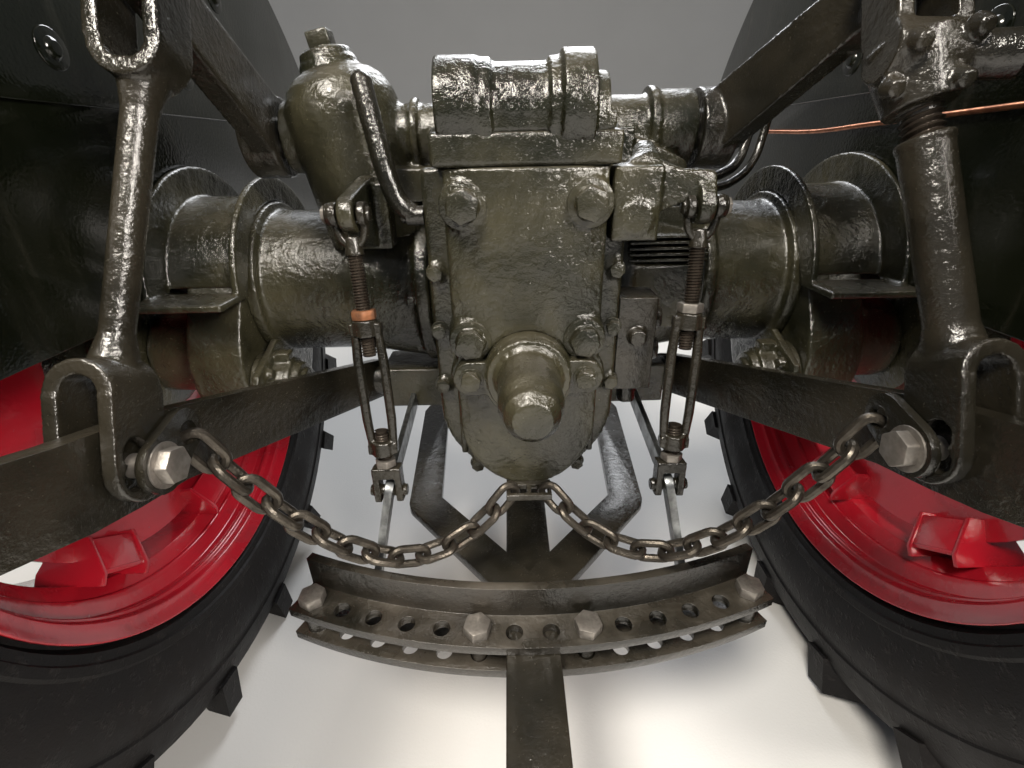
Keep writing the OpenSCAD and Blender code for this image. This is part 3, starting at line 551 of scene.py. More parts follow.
def wire(name, points, r, finish, body, replaces=(), more=None):
    """A bent round rod through some points, from a curve with round thickness that becomes a mesh."""
    curve = bpy.data.curves.new(name, "CURVE")
    curve.dimensions, curve.bevel_depth, curve.bevel_resolution, curve.resolution_u = "3D", r * MM, 5, 8
    curve.use_fill_caps = True
    line = curve.splines.new("BEZIER")
    line.bezier_points.add(len(points) - 1)
    for spot, point in zip(line.bezier_points, points):
        spot.co = GROUND @ Vector(point)
        spot.handle_left_type = spot.handle_right_type = "AUTO"
    draft = bpy.data.objects.new(name + "_draft", curve)
    bpy.context.collection.objects.link(draft)
    mesh = bpy.data.meshes.new_from_object(draft.evaluated_get(bpy.context.evaluated_depsgraph_get()))
    bpy.data.objects.remove(draft)
    bm = bmesh.new()
    bm.from_mesh(mesh)
    bpy.data.meshes.remove(mesh)
    if more:
        more(bm)
    return settle(name, bm, finish, body, 40, replaces)


def pair(name):
    """Both sides of a mirrored part: its full name and the sign of X."""
    return ((name + "_left", -1), (name + "_right", 1))


print("small shapes ready")

# %% [markdown]
# The castings come from the model's own solids. Ribs, bosses and steps that the plain model leaves out are
# added to the bmesh first, and the voxel skin then joins them with fillets. The cap of the power take-off is
# also drawn 12 mm wider than the model's.

# %% Gear case and its covers
bm = copy_of("gear_case")
for s in (-1, 1):
    for y in (-60, 150):
        soften(bm, block(bm, (s * 88, y, 520), (s * 97, y + 14, 790)), 2)
    block(bm, (s * 88, -100, 640), (s * 96, 200, 652))
    bar(bm, (s * 90, 110, 520), (s * 102, 110, 520), 16)
cast("case_casting", bm, GREEN_CAST, "rear_axle", 4.0, 4, 0.55, ["gear_case"])

bm = copy_of("rear_cover")
for s in (-1, 1):
    for z in (805, 667):
        bar(bm, (s * 61, -128, z), (s * 61, -165, z), 28, 24)
    block(bm, (s * 76, -134, 500), (s * 84, -130, 800))
cast("rear_cover_casting", bm, GREEN_CAST, "rear_axle", 2.2, 5, 0.5, ["rear_cover"])

bm = copy_of("shaft_cap")
bar(bm, (0, -180, 635), (0, -256, 635), 33, 32)
bar(bm, (0, -256, 635), (0, -272, 635), 32, 24)
bar(bm, (0, -179, 633), (0, -196, 633), 45)
cast("shaft_cap_casting", bm, GREEN_CAST, "rear_axle", 1.6, 5, 0.5, ["shaft_cap"])

bm = copy_of("lift_cover")
for s in (-1, 1):
    for y in (-140, -60, 40, 150):
        bar(bm, (s * 76, y, 850), (s * 76, y, 873), 14)
cast("lift_cover_casting", bm, GREEN_CAST, "rear_axle", 2.6, 5, 0.5, ["lift_cover"])

bm = copy_of("top_link_bracket")
for x, w, r, z in ((-63, 19, 43, 888), (48, 15, 47, 888), (69, 7, 37, 880)):
    bar(bm, (x - w, -128, z), (x + w, -128, z), r, n=40)
bar(bm, (-46, -124, 884), (36, -124, 884), 42)
for x in (-36, 27):
    bar(bm, (x - 5, -124, 884), (x + 5, -124, 884), 46)
block(bm, (-82, -150, 846), (76, -60, 870))
cast("top_link_bracket_casting", bm, GREEN_CAST, "rear_axle", 1.9, 5, 0.5, ["top_link_bracket"])

# %% [markdown]
# The lift shaft's housings stand left and right of the cover. The right one carries a curved wing that slopes
# down outwards. The left one is the tall, leaning housing of the lift cylinder with its plug.

# %% Shaft housings and brackets
bm = copy_of("lift_shaft_housing")
wing = [(96, 852), (128, 848), (158, 838), (182, 826), (190, 828), (186, 838), (160, 850), (130, 862),
        (96, 866)]
slab(bm, wing, 1, -52, 10)
slab(bm, [(96, 800), (124, 800), (124, 872), (96, 872)], 1, -60, -50)
bar(bm, (146, 0, 870), (156, 0, 870), 47)
cast("lift_shaft_housing_casting", bm, GREEN_CAST, "rear_axle", 2.2, 4, 0.5, ["lift_shaft_housing"])

bm = bmesh.new()
lean = GROUND @ Matrix.Translation((-203, -4, 870)) @ Matrix.Rotation(math.radians(-11), 4, "Y")
revolve(bm, [(-118, 0.5), (-118, 64), (-60, 66), (24, 66), (40, 63), (54, 56), (64, 45), (68, 34), (76, 33),
             (78, 30), (86, 29), (88, 25), (88, 0.5)], (0, 0, 0), (0, 0, 1), 64, lean)
bar(bm, (-276, 0, 870), (-88, 0, 870), 34)
bar(bm, (-276, 0, 870), (-262, 0, 870), 40)
bar(bm, (-128, 0, 870), (-120, 0, 870), 40)
block(bm, (-152, -62, 800), (-92.3, 50, 836))
cast("lift_cylinder_housing_casting", bm, GREEN_CAST, "rear_axle", 2.4, 5, 0.5, ["lift_cylinder_housing"])

bm = bmesh.new()
soften(bm, block(bm, (-12.5, -12.5, 86), (12.5, 12.5, 106), lean), 2.0, 3)
hex_head(bm, (0, 0, 80), (0, 0, 1), 44, 9, spin=15, m=lean)
settle("lift_cylinder_plug", bm, GREEN_CAST, "rear_axle")

bm = copy_of("brace_brackets")
slab(bm, stadium((112, 826), (172, 812), 20, 13), 1, -152, -136)
bar(bm, (108, -150, 790), (108, -166, 790), 20, 16)
bar(bm, (118, -140, 835), (118, -120, 850), 16, 12)
cast("brace_bracket_castings", bm, GREEN_CAST, "rear_axle", 2.0, 12, 0.6, ["brace_brackets"])
cast("valve_block_casting", copy_of("valve_block"), BLACK_FORGED, "rear_axle", 2.0, 3, 0.5, ["valve_block"])
for name, s in pair("axle_trumpet"):
    bm = copy_of(name)
    if s > 0:
        bar(bm, (232, TUBE_Y, TUBE_H), (244, TUBE_Y, TUBE_H), 104)
        block(bm, (126, -62, 640), (222, 20, 722))
    cast(name + "_casting", bm, GREEN_CAST, "rear_axle", 2.8, 4, 0.5, [name])
bm = bmesh.new()
for i in range(5):
    soften(bm, block(bm, (128, -64, 726 + i * 7), (224, 30, 729 + i * 7)), 0.8)
settle("axle_trumpet_right_fins", bm, GREEN_CAST, "rear_axle")
for name, _ in pair("final_drive"):
    cast(name + "_casting", copy_of(name), GREEN_CAST, "rear_axle", 3.0, 5, 0.4, [name])
for name, s in pair("brake_housing"):
    bm = copy_of(name)
    plug = GROUND @ Matrix.Translation((s * 330, -64, 572)) @ Matrix.Rotation(math.radians(20), 4, "X")
    slab(bm, [(-46, -40), (-36, -50), (36, -50), (46, -40), (46, 40), (36, 50), (-36, 50), (-46, 40)], 0,
         0, s * 9, plug)
    bar(bm, (s * 296, -64, 572), (s * 330, -64, 572), 30, 36)
    bar(bm, (s * 312, -66, 560), (s * 312, -100, 548), 15, 13)
    soften(bm, block(bm, (s * 286 - 8, -72, 564), (s * 286 + 8, -56, 580)), 1)
    cast(name + "_casting", bm, GREEN_CAST, "rear_axle", 1.8, 4, 0.5, [name])
for name, _ in pair("guard_bracket"):
    cast(name + "_casting", copy_of(name), GREEN_CAST, "rear_axle", 2.2, 3, 0.5, [name])
print("housings and brackets cast")

# %% [markdown]
# Bolts keep their crisp hexagons, so they are separate from the soft castings. A big washer lies under each
# of the rear cover's four large bolts, and circles of smaller bolts hold both ends of the axle casings.

# %% Bolts of the rear
bm = bmesh.new()
for s in (-1, 1):
    for z, spin in ((805, 8), (667, 20)):
        hex_head(bm, (s * 61, -165, z), (0, -1, 0), 29, 13, 45, 4, spin * s)
    hex_head(bm, (s * 62, -180, 628), (0, -1, 0), 20, 10, 27, 2.4, 12 * s)
    for x, z in ((98, 734), (100, 600), (64, 484), (99, 668)):
        hex_head(bm, (s * x, -129.5, z), (0, -1, 0), 15, 9, 21, 2, 14 * s)
    bolt_circle(bm, 8, 0, (s * 135.5, TUBE_Y, TUBE_H), 106, (s, 0, 0), 16, 10, 22, 2, spin=10)
    bolt_circle(bm, 6, 30, (s * 417, TUBE_Y, TUBE_H), 92, (s, 0, 0), 14, 8, spin=17)
settle("rear_bolts", bm, GREEN_CAST, "rear_axle")
print("bolts of the rear placed")

# %% [markdown]
# The forged parts of the linkage have soft edges too, but a tighter skin than the castings. The right lift
# rod is the adjustable one: a gear box at the top turns a coarse screw inside a sleeve.

# %% Lift arms and lift rods
for name, _ in pair("lift_arm"):
    cast(name + "_forging", copy_of(name), BLACK_FORGED, "lift_arms", 2.2, 3, 0.5, [name])

LEAN = math.degrees(math.atan2(PIN_Y - BOLT_Y, PIN_H - BOLT_H))
along_rod = Matrix.Rotation(math.radians(-LEAN), 4, "X")


def trim(bm, m, point, normal):
    """Cuts a closed mesh with a plane of the frame m and closes it again; what the normal points at goes."""
    cut = bmesh.ops.bisect_plane(bm, geom=bm.verts[:] + bm.edges[:] + bm.faces[:], dist=1e-6,
                                 plane_co=m @ Vector(point), plane_no=m.to_3x3() @ Vector(normal),
                                 clear_outer=True)["geom_cut"]
    bmesh.ops.holes_fill(bm, edges=[g for g in cut if isinstance(g, bmesh.types.BMEdge)])


def fork_end(name, m, sign, half, gap, edge, span):
    """A forked end of a lift rod: the model's cheeks, and an arch over the slot between them.

    Half widths of arch and slot, the arch's highest line and its span across are in the frame m; the sign
    is the side of the arch.
    """
    bm = copy_of(name)
    root = edge - sign * half
    trim(bm, m, (0, 0, root), (0, 0, sign))
    arch = [(half * math.cos(a), root + sign * half * math.sin(a)) for a in
            [math.pi * i / 20 for i in range(21)]]
    arch += [(-half, root - sign * 8), (-gap, root - sign * 8)]
    arch += [(gap * math.cos(a), root + sign * gap * math.sin(a)) for a in
             [math.pi - math.pi * i / 14 for i in range(15)]]
    slab(bm, arch + [(gap, root - sign * 8), (half, root - sign * 8)], 1, span[0], span[1], m)
    return bm


for name, s in pair("lift_rod"):
    high = GROUND @ Matrix.Translation((s * 295, PIN_Y, PIN_H)) @ along_rod
    deep = GROUND @ Matrix.Translation((s * 330, BOLT_Y, BOLT_H)) @ along_rod
    top, low = Vector((s * 295, -217, 907)), Vector((s * 330, -305, 706))
    down = (low - top).normalized()
    bm = fork_end(name, high, sign=-1, half=28, gap=16, edge=-92, span=(-19, 19))
    take_in(bm, fork_end(name, deep, sign=1, half=26, gap=14, edge=86, span=(-36, 14)))
    if s < 0:
        bar(bm, top, low, 12.5, 12)
        bar(bm, top - down * 6, top + down * 26, 19, 12.5)
        bar(bm, low + Vector((0, -4, -6)), low - down * 26, 20, 12)
    else:
        bar(bm, top, top + down * 45, 13)
        bar(bm, top + down * 60, low, 18.5, 17.5)
        bar(bm, top + down * 59, top + down * 64, 19.5)
        bar(bm, low + Vector((0, -3, -6)), low - down * 16, 23, 18)
        bar(bm, top - down * 12, top + down * 36, 31, 24)
        bar(bm, top + Vector((-30, -4, 6)), top + Vector((30, -8, 2)), 22)
        bar(bm, top + Vector((26, -12, 2)), top + Vector((58, -30, 0)), 16)
        for x, y, z in ((-20, -24, 10), (14, -30, -14), (-26, -18, -18), (20, -24, 18)):
            bar(bm, top + Vector((x, y, z)), top + Vector((x, y - 12, z - 2)), 9, 6)
    cast(name + "_forging", bm, BLACK_FORGED, name, 1.7, 4, 0.5, [name])
    if s > 0:
        bm = bmesh.new()
        thread(bm, top + down * 34, top + down * 62, 14.5, 5)
        settle(name + "_screw", bm, GREASED, name)

    bm = bmesh.new()
    hex_head(bm, (s * 323.5, PIN_Y, PIN_H), (s, 0, 0), 27, 9, 36, 3, 12)
    hex_head(bm, (s * 266.5, PIN_Y, PIN_H), (-s, 0, 0), 24, 8, 34, 3, 4)
    settle(name + "_pin", bm, ZINC, name)
plate("lift_shaft_bar", copy_of("lift_shaft"), SHAFT_STEEL, "lift_arms", 1.5, ["lift_shaft"])
print("arms and rods done")

# %% [markdown]
# The lower links are thick flat bars, bent at both ends of a straight middle. The model's chain plate and
# bolt are cut away from the copy and drawn anew as pieces of their own, with a rounder hole and finer edges.

# %% Lower links


# The model's chain plate and bolt head lie inside these limits, in the model's metres.
INNER_FACE, BACK_END, FRONT_END, UNDERSIDE = 0.303, -0.93, -0.80, -0.15
EYE_Y, EYE_H, EYE_R = -299, 640, 10.5  # the chain plate's hole


def open_edges(bm):
    return [e for e in bm.edges if e.is_boundary]


for name, s in pair("lower_link"):
    bm = copy_of(name)
    far = [v for v in bm.verts if abs(v.co.x) < INNER_FACE and BACK_END < v.co.y < FRONT_END
           and v.co.z > UNDERSIDE]
    bmesh.ops.delete(bm, geom=far, context="VERTS")
    plate(name + "_bar", bm, BLACK_FORGED, name, 1.6, [name], 3)

    bm = bmesh.new()
    ring = stadium((BOLT_Y, BOLT_H), (-302, 643), 23, 20, 14)
    eye = [(EYE_Y + EYE_R * math.cos(a), EYE_H + EYE_R * math.sin(a)) for a in
           [math.tau * i / 24 for i in range(24)]]
    for x in (295.5, 302.5):
        rims = [[bm.verts.new(GROUND @ Vector((s * x, y, z))) for y, z in line] for line in (ring, eye)]
        edges = [bm.edges.new((line[i - 1], line[i])) for line in rims for i in range(len(line))]
        bmesh.ops.triangle_fill(bm, use_beauty=True, edges=edges)
    hole = GROUND @ Vector((s * 299, EYE_Y, EYE_H))
    outer = [e for e in open_edges(bm) if (e.verts[0].co - hole).length > (EYE_R + 1.5) * MM]
    bmesh.ops.bridge_loops(bm, edges=outer)
    bmesh.ops.bridge_loops(bm, edges=open_edges(bm))
    soften(bm, bm.verts, 1.2)
    settle(name + "_chain_plate", bm, BLACK_FORGED, name)
    bm = bmesh.new()
    hex_head(bm, (s * 296, BOLT_Y, BOLT_H), (-s, 0, 0), 27, 12, spin=11)
    hex_head(bm, (s * 357.5, BOLT_Y, BOLT_H), (s, 0, 0), 30, 14, spin=4)
    bar(bm, (s * 290, BOLT_Y, BOLT_H), (s * 374, BOLT_Y, BOLT_H), 10)
    soften(bm, bar(bm, (s * 296.3, BOLT_Y, BOLT_H), (s * 294, BOLT_Y, BOLT_H), 19), 0.6)
    settle(name + "_bolt", bm, ZINC, name)
print("links done")

# %% [markdown]
# A chain link is a round wire bent to an oval. One ring of the wire is extruded along a straight side, spun
# half round the end, extruded back and spun round the other end. Neighbours stand a quarter turn apart.

# %% Check chains
CHAIN_LINKS, LINK_STEP, SAG = 13, 32.7, 125.0
WIRE_R, HALF_SIDE, BEND_R = 4.7, 10.3, 11.0


def oval_link(bm, m):
    """One link that stands along the Z axis of the frame m."""
    ring = bmesh.ops.create_circle(bm, segments=10, radius=WIRE_R,
                                   matrix=m @ Matrix.Translation((BEND_R, 0, -HALF_SIDE)))
    verts = ring["verts"]
    loop = verts + list({e for v in verts for e in v.link_edges})
    up = m.to_3x3() @ Vector((0, 0, 2 * HALF_SIDE))
    axis = (m.to_3x3() @ Vector((0, -1, 0))).normalized()
    for turn in (1, -1):
        wire_ring = [g for g in loop if isinstance(g, bmesh.types.BMEdge)]
        grown = bmesh.ops.extrude_edge_only(bm, edges=wire_ring)["geom"]
        moved = [g for g in grown if isinstance(g, bmesh.types.BMVert)]
        bmesh.ops.translate(bm, verts=moved, vec=up * turn)
        loop = [g for g in grown if not isinstance(g, bmesh.types.BMFace)]
        loop = bmesh.ops.spin(bm, geom=loop, cent=m @ Vector((0, 0, HALF_SIDE * turn)), axis=axis,
                              angle=math.pi, steps=9, use_duplicate=False)["geom_last"]


def chain_place(a, b, t):
    """The point at the share t of a sagging line from a to b."""
    return a.lerp(b, t) - Vector((0, 0, 4 * SAG * t * (1 - t)))


for name, s in pair("check_chain"):
    a, b = Vector((s * 298.6, -296.6, 631.9)), Vector((s * 21.1, -188, 484.8))
    run, share, shares = (b.xy - a.xy).length, 0.0, [0.0]
    for i in range(CHAIN_LINKS):
        slope = (b.z - a.z - 4 * SAG * (1 - 2 * (share + 0.02))) / run
        share += LINK_STEP / run / math.sqrt(1 + slope * slope)
        shares.append(share)
    bm = bmesh.new()
    for i in range(CHAIN_LINKS):
        p, q = chain_place(a, b, shares[i]), chain_place(a, b, shares[i + 1])
        way = q - p
        m = Matrix.Translation((p + q) / 2) @ Matrix.Rotation(math.atan2(way.y, way.x), 4, "Z")
        m = m @ Matrix.Rotation(math.acos(way.z / way.length), 4, "Y")
        m = m @ Matrix.Rotation(math.radians(90 * (i % 2)), 4, "Z")
        oval_link(bm, GROUND @ m)
    chain = settle(name + "_links", bm, CHAIN, None, replaces=[name])
    tuple(GROUND @ chain_place(a, b, 0.12))
    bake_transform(chain)
print("chains linked")

# %% [markdown]
# A turnbuckle takes up the slack of each brace: two legs join two collars, and a right-hand and a left-hand
# screw run into them. It is drawn upright in a frame that leans along the brace.

# %% Turnbuckles


def on_pin(x):
    """A point of the shackle pins, which lie along X."""
    return (x, -150, 798)


for name, s in pair("turnbuckle"):
    low, top = Vector((s * 168, -186, 486)), Vector((s * 176, -150, 774))
    way = top - low
    long = way.length
    tilt = Matrix.Translation(low) @ Matrix.Rotation(math.atan2(way.x, way.z), 4, "Y") \
        @ Matrix.Rotation(-math.asin(way.y / long), 4, "X")
    m = GROUND @ tilt
    bm = bmesh.new()
    for t in (-1, 1):
        bar(bm, (t * 12, 0, 56), (t * 14, 0, 92), 4.6, 5.4, m)
        bar(bm, (t * 14, 0, 92), (t * 14, 0, 164), 5.4, 5.4, m)
        bar(bm, (t * 14, 0, 164), (t * 12, 0, 200), 5.4, 4.6, m)
        block(bm, (t * 13 - 4, -9, -12), (t * 13 + 4, 9, 30), m)
        bar(bm, on_pin(s * 176 + t * 10), on_pin(s * 176 + t * 18), 12)
    for z in (48, 190):
        bar(bm, (0, 0, z), (0, 0, z + 18), 13, None, m)
        block(bm, (-17, -6, z + 2), (17, 6, z + 14), m)
    block(bm, (-17, -9, 18), (17, 9, 32), m)
    bar(bm, on_pin(s * 154), on_pin(s * 198), 7)
    bar(bm, on_pin(s * 190), on_pin(s * 198), 11)
    bar(bm, top - way / long * 16, top - way / long * -3, 10, 7)
    bar(bm, (s * 146, -186, 486), (s * 190, -186, 486), 7)
    cast(name + "_body", bm, BLACK_FORGED, "rear_axle", 1.3, 3, 0.6, [name])
    bm = bmesh.new()
    thread(bm, (0, 0, 26), (0, 0, 78), 8.2, 3, m)
    thread(bm, (0, 0, 168), (0, 0, long - 4), 8.2, 3, m)
    settle(name + "_screws", bm, GREASED, "rear_axle")
    bm = bmesh.new()
    hex_head(bm, (0, 0, 208.5), (0, 0, 1), 24, 10, spin=8, m=m)
    settle(name + "_lock_nut", bm, RUSTED if s < 0 else ZINC, "rear_axle")
    bm = bmesh.new()
    hex_head(bm, (0, 0, 33), (0, 0, 1), 22, 9, spin=20, m=m)
    hex_head(bm, on_pin(s * 195), (s, 0, 0), 15, 7, spin=10)
    settle(name + "_nuts", bm, ZINC, "rear_axle")
    bow = [(-14, -150, 798), (-13.5, -151, 782), (-8, -151, 771), (0, -151, 767), (8, -151, 771),
           (13.5, -151, 782), (14, -150, 798)]
    wire(name + "_shackle", [(s * 176 + x, y, z) for x, y, z in bow], 4.3, BLACK_FORGED, "rear_axle")
    wire(name + "_cotter", [(s * 189, -160, 806), (s * 192, -156, 798), (s * 191, -146, 790),
         (s * 194, -140, 786)], 1.7, ZINC, "rear_axle")
print("turnbuckles done")

# %% [markdown]
# Straps, quadrant, drawbar and frame are plates. The quadrant's bolt heads are drawn anew as bare metal, a
# little larger than the model's plain ones, which they cover.

# %% Straps, quadrant and drawbar
plate("stay_strap_plates", copy_of("stay_straps"), STRAP, "rear_axle", 0.9, ["stay_straps"])
plate("chain_bar_plate", copy_of("chain_bar"), BLACK_FORGED, "rear_axle", 1.0, ["chain_bar"])
plate("quadrant_plates", copy_of("quadrant"), DUSTY_PLATE, "rear_axle", 1.0, ["quadrant"])
plate("drawbar_plate", copy_of("drawbar"), BLACK_FORGED, "rear_axle", 2.2, ["drawbar"], steps=3)
plate("drawbar_frame_plates", copy_of("drawbar_frame"), BLACK_FORGED, "rear_axle", 1.5, ["drawbar_frame"])
bm = bmesh.new()
for step in (-6.5, -1.5, 1.5, 6.5):
    a = math.radians(step * 3.2)
    hex_head(bm, (762 * math.sin(a), 480 - 762 * math.cos(a), 352.9), (0, 0, 1), 28.6, 13.4,
             spin=9 * step)
settle("quadrant_bolts", bm, ZINC, "rear_axle")
print("plates done")

# %% [markdown]
# The control rods and the copper pipe are bent round stock, so each is one wire through a few points.

# %% Control rods and pipe


def left_end(bm):
    """A knob on top of the left rod, and the boss with its bolt that it is fixed to."""
    bmesh.ops.create_uvsphere(bm, u_segments=20, v_segments=10, radius=10.8,
                              matrix=GROUND @ Matrix.Translation((-160, -96, 915)))
    bar(bm, (-106, -120, 792), (-124, -120, 792), 10)
    hex_head(bm, (-124, -120, 792), (-1, 0, 0), 14, 6)


def right_end(bm):
    """The cross bar that the right rod turns."""
    bar(bm, (124, 46, 820), (246, 46, 820), 8.8)


wire("control_rod_left", [(-160, -96, 915), (-150, -108, 870), (-140, -118, 830), (-130, -120, 804),
     (-118, -120, 793)], 10.8, BLACK_FORGED, "rear_axle", ["control_rods"], left_end)
wire("control_rod_right", [(310, 66, 905), (304, 66, 860), (292, 56, 832), (266, 40, 818), (236, 30, 812)],
     6.5, BLACK_FORGED, "rear_axle", more=right_end)
wire("control_rod_twin", [(326, 60, 905), (321, 58, 862), (309, 48, 832), (280, 30, 810), (240, 14, 800)],
     5.5, BLACK_FORGED, "rear_axle")
wire("copper_line", [(442.7, 300, 872), (442.7, 150, 868), (442.7, 40, 872), (442.7, -180, 880)], 3.0,
     COPPER, "rear_axle", ["copper_pipe"])
print("rods and pipe done")

# %% [markdown]
# Each mudguard is a flat inner wall with an arch over the tyre. A second panel laps over the first, pan-head
# bolts hold it, and the cut edge of the arch is rolled round a wire.

# %% Mudguards
for name, s in pair("mudguard"):
    plate(name + "_sheet", copy_of(name), GREEN_SHEET, "rear_axle", 0.9, [name])
    bm = bmesh.new()
    outline = [(664 * math.cos(a), WHEEL_H + 664 * math.sin(a)) for a in
               [math.radians(31 + 118 * i / 48) for i in range(49)]]
    lap = 908 if s > 0 else 900  # height of the panel's lower edge
    outline = [(570, lap)] + outline + [(-570, lap)]
    soften(bm, slab(bm, outline, 0, s * 441.5, s * 446.2), 1.6, 3)
    settle(name + "_panel", bm, GREEN_SHEET, "rear_axle")
    arc = [(s * 770.5, 662 * math.cos(a), WHEEL_H + 662 * math.sin(a)) for a in
           [math.radians(9 + 162 * i / 30) for i in range(31)]]
    wire(name + "_rolled_edge", arc, 5.0, GREEN_SHEET, "rear_axle")
    bm = bmesh.new()
    for y, z in ((-108, 946), (100, 950), (-330, 930), (330, 930), (-230, 1060), (230, 1060)):
        soften(bm, bar(bm, (s * 443, y, z), (s * 440.4, y, z), 18), 0.8)
        soften(bm, bar(bm, (s * 441, y, z), (s * 436, y, z), 11, 7), 2.0, 3)
    settle(name + "_pan_bolts", bm, GREEN_SHEET, "rear_axle")
print("mudguards done")

# %% [markdown]
# A tyre is a spun carcass with moulded rings, and lugs that lean across the tread in two rows. Every lug is
# the same six-sided block, tapered and bevelled, turned on by one step.

# %% Tyres
LUGS, TREAD_R = 18, 534


def lug(bm, m, mirror):
    """One lug that stands along the Z axis of the frame m; mirror is 1 or -1 for the two rows."""
    outline = [(-7, -66), (26, -46), (142, 18), (142, 60), (99, 46), (-7, -36)]
    feet = [bm.verts.new(m @ Vector((u * mirror, v, 0))) for u, v in outline]
    heads = [bm.verts.new(m @ Vector((u * mirror * 0.99, v * 0.9, 62.4))) for u, v in outline]
    bm.faces.new(feet)
    bm.faces.new(heads)
    for i in range(6):
        bm.faces.new((feet[i], feet[(i + 1) % 6], heads[(i + 1) % 6], heads[i]))
    soften(bm, feet + heads, 14.0, 4)


for name, s in pair("tyre"):
    bm = bmesh.new()
    wall = [(116.5, 363), (116.5, 381), (130, 386), (133, 396), (137, 398), (138, 408), (135, 412),
            (140, 440), (142, 458), (141.5, 490), (139.5, 494), (139.5, 500), (141.5, 503), (135, 538),
            (127, 554), (108, 565), (60, 569)]
    profile = wall + [(0, 570)] + [(-x, r) for x, r in reversed(wall)]
    revolve(bm, profile, (s * WHEEL_X, 0, WHEEL_H), (1, 0, 0), 108)
    for i in range(LUGS):
        for t in (0, 1):
            turn = Matrix.Rotation(math.radians(s * (i + 0.13 + t / 2) * (360 / LUGS)), 4, "Z")
            m = Matrix.Translation((s * WHEEL_X, 0, WHEEL_H)) @ Matrix.Rotation(math.pi / 2, 4, "Y") @ turn
            m = m @ Matrix.Translation((TREAD_R, 0, 0)) @ Matrix.Rotation(math.pi / 2, 4, "Y")
            lug(bm, GROUND @ m @ Matrix.Diagonal((1, s, 1, 1)), 1 if t == 0 else -1)
    settle(name + "_rubber", bm, RUBBER, name.replace("tyre", "wheel"), 28, [name])
print("tyres done")

# %% [markdown]
# The rim is one spun profile. The wheel disc is dished and held by eight welded brackets; a green hub with
# eight bolts carries it.

# %% Rims, discs and hubs
for name, s in pair("rim"):
    bm = bmesh.new()
    half = [(117, 356), (123, 370), (130, 374.5), (131, 377), (128, 378), (119, 374), (117.5, 362), (87, 360),
            (57, 322)]
    inner = [(53, 316), (68, 333), (71, 332), (74, 333.5), (77, 340), (85, 353), (95, 353.5), (98, 350.5),
             (103, 350.5), (106, 354.5)]
    profile = half + [(-x, r) for x, r in reversed(half)] + [(-x, r) for x, r in reversed(inner)] + inner
    revolve(bm, profile, (s * WHEEL_X, 0, WHEEL_H), (1, 0, 0), 128)
    piece = settle(name + "_ring", bm, WHEEL_RED, name.replace("rim", "wheel"), 50, [name])
    edge = piece.modifiers.new("edge", "BEVEL")
    edge.width, edge.segments = 0.0012, 2
    edge.limit_method, edge.angle_limit = "ANGLE", math.radians(40)
for name, s in pair("hub"):
    body = name.replace("hub", "wheel")
    x = 584 * s  # the disc's plane
    bm = bmesh.new()
    profile = [(0, 40), (0, 120), (-6, 128), (-8, 150), (2, 190), (3, 262), (0, 288), (10, 288), (11, 262),
               (10, 190), (0, 150), (2, 128), (10, 116), (10, 40)]
    revolve(bm, [(u * s, r) for u, r in profile], (x, 0, WHEEL_H), (1, 0, 0), 112)
    for i in range(8):
        m = GROUND @ Matrix.Translation((0, 0, WHEEL_H)) @ Matrix.Rotation(math.radians(i * 45 + 10), 4, "X")
        m = m @ Matrix.Translation((s * 587, 0, 0)) @ Matrix.Diagonal((s, 1, 1, 1))
        for t in (-1, 1):
            cheek = [(-18, 254), (-44, 300), (-44, 316), (44, 316), (44, 300), (26, 262)]
            soften(bm, slab(bm, cheek, 1, t * 36 - 3.5, t * 36 + 3.5, m), 1.6)
        soften(bm, block(bm, (-40, -36, 296), (40, 36, 303), m), 2.0)
        soften(bm, slab(bm, [(-40, 299), (-18, 258), (-12, 261), (-34, 302)], 1, -36, 36, m), 1.6)
    settle(name + "_disc", bm, WHEEL_RED, body, 30, [name])
    bm = bmesh.new()
    profile = [(-74, 0.5), (-74, 70), (-68, 82), (-22, 84), (-10, 118), (-1, 124), (-1, 0.5)]
    revolve(bm, [(u * s, r) for u, r in profile], (x, 0, WHEEL_H), (1, 0, 0), 64)
    bar(bm, (s * 402, 0, WHEEL_H), (s * 512, 0, WHEEL_H), 35)
    bolt_circle(bm, 8, 0, (s * 574, 0, WHEEL_H), 104, (-s, 0, 0), 19, 11, 26, 2, spin=12)
    settle(name + "_casting", bm, GREEN_CAST, body, 30)
print("wheels done")

# %% [markdown]
# The stage is a pale floor that curves up into a wall ahead of the camera, so no horizon shows there. Views
# from the front look the other way and see where the floor ends. Three large soft lamps light the stage: one
# high on the left behind the camera, one lower on the right, and one from the front.

# %% Stage and light


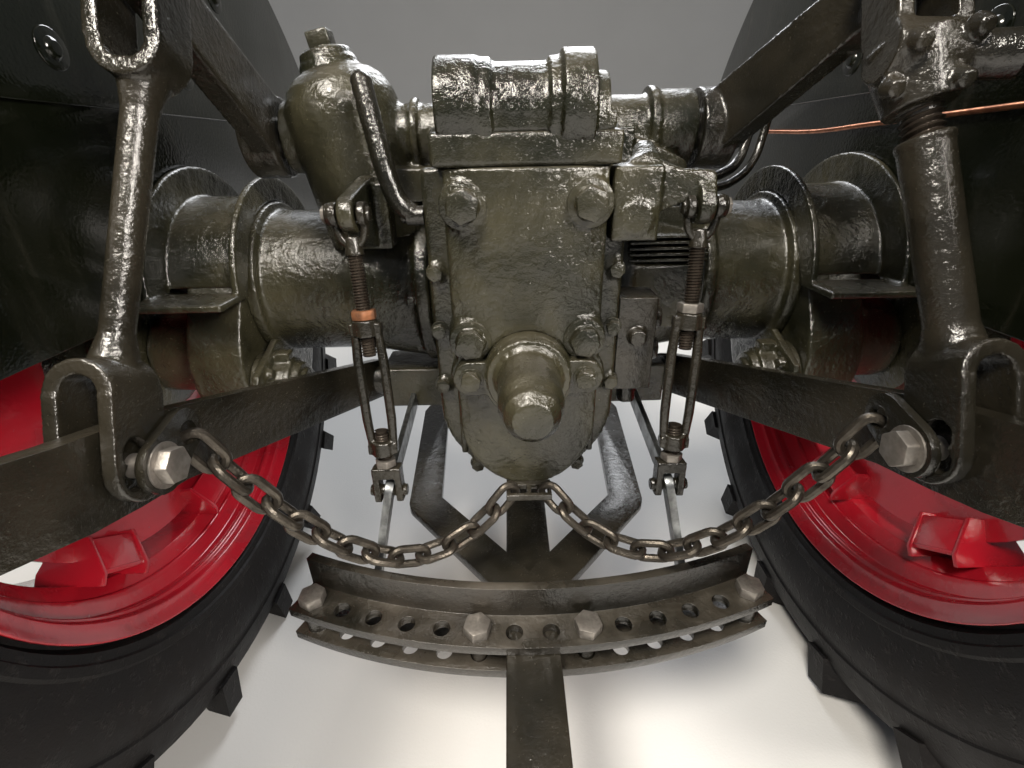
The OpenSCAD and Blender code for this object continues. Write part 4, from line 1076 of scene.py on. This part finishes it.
def floor_finish():
    coat = Coat("pale studio floor")
    tone = coat.mix(coat.noise(1.6, 4), (0.60, 0.595, 0.58), (0.66, 0.655, 0.64))
    return coat.set(Base_Color=tone, Roughness=0.7, Normal=coat.bump(coat.noise(220, 3), 0.0004))


bm = bmesh.new()
reach, wall_y, bend, level = 9.0, 5.0, 2.0, -0.7
line = [bm.verts.new((-reach, -7.0, level))]
for i in range(13):
    a = math.radians(90 * i / 12)
    line.append(bm.verts.new((-reach, wall_y + bend * math.sin(a), level + bend * (1 - math.cos(a)))))
line.append(bm.verts.new((-reach, wall_y + bend, 7.0)))
edges = [bm.edges.new(line[i:i + 2]) for i in range(len(line) - 1)]
grown = bmesh.ops.extrude_edge_only(bm, edges=edges)["geom"]
bmesh.ops.translate(bm, verts=[g for g in grown if isinstance(g, bmesh.types.BMVert)], vec=(2 * reach, 0, 0))
backdrop = settle("studio_backdrop", bm, floor_finish(), None)

world = bpy.data.worlds.new("soft_sky")
bpy.context.scene.world = world
world.use_nodes = True
sky = world.node_tree.nodes["Background"]
sky.inputs["Color"].default_value = (0.80, 0.86, 0.95, 1)
sky.inputs["Strength"].default_value = 0.17


def lamp(name, spot, target, size, watts, tint):
    """A round soft lamp at a spot that shines at a target, in metres."""
    light = bpy.data.lights.new(name, "AREA")
    light.shape, light.size, light.energy, light.color = "DISK", size, watts, tint
    made = bpy.data.objects.new(name, light)
    spot, target = Vector(spot), Vector(target)
    aimed = (target - spot).to_track_quat("-Z", "Y").to_matrix().to_4x4()
    made.matrix_world = Matrix.Translation(spot) @ aimed
    bpy.context.collection.objects.link(made)


lamp("high_key", (-0.8, -2.2, 2.3), (0, -0.7, 0.0), 0.8, 125, (1.0, 0.93, 0.83))
lamp("right_fill", (1.5, -2.5, 1.3), (0.1, -0.7, -0.1), 0.8, 85, (1.0, 0.93, 0.85))
lamp("front_edge", (0.3, 1.7, 2.2), (0, -0.4, 0.1), 1.6, 75, (0.95, 0.97, 1.0))
bpy.context.scene.view_settings.view_transform = "Standard"
print("stage set")
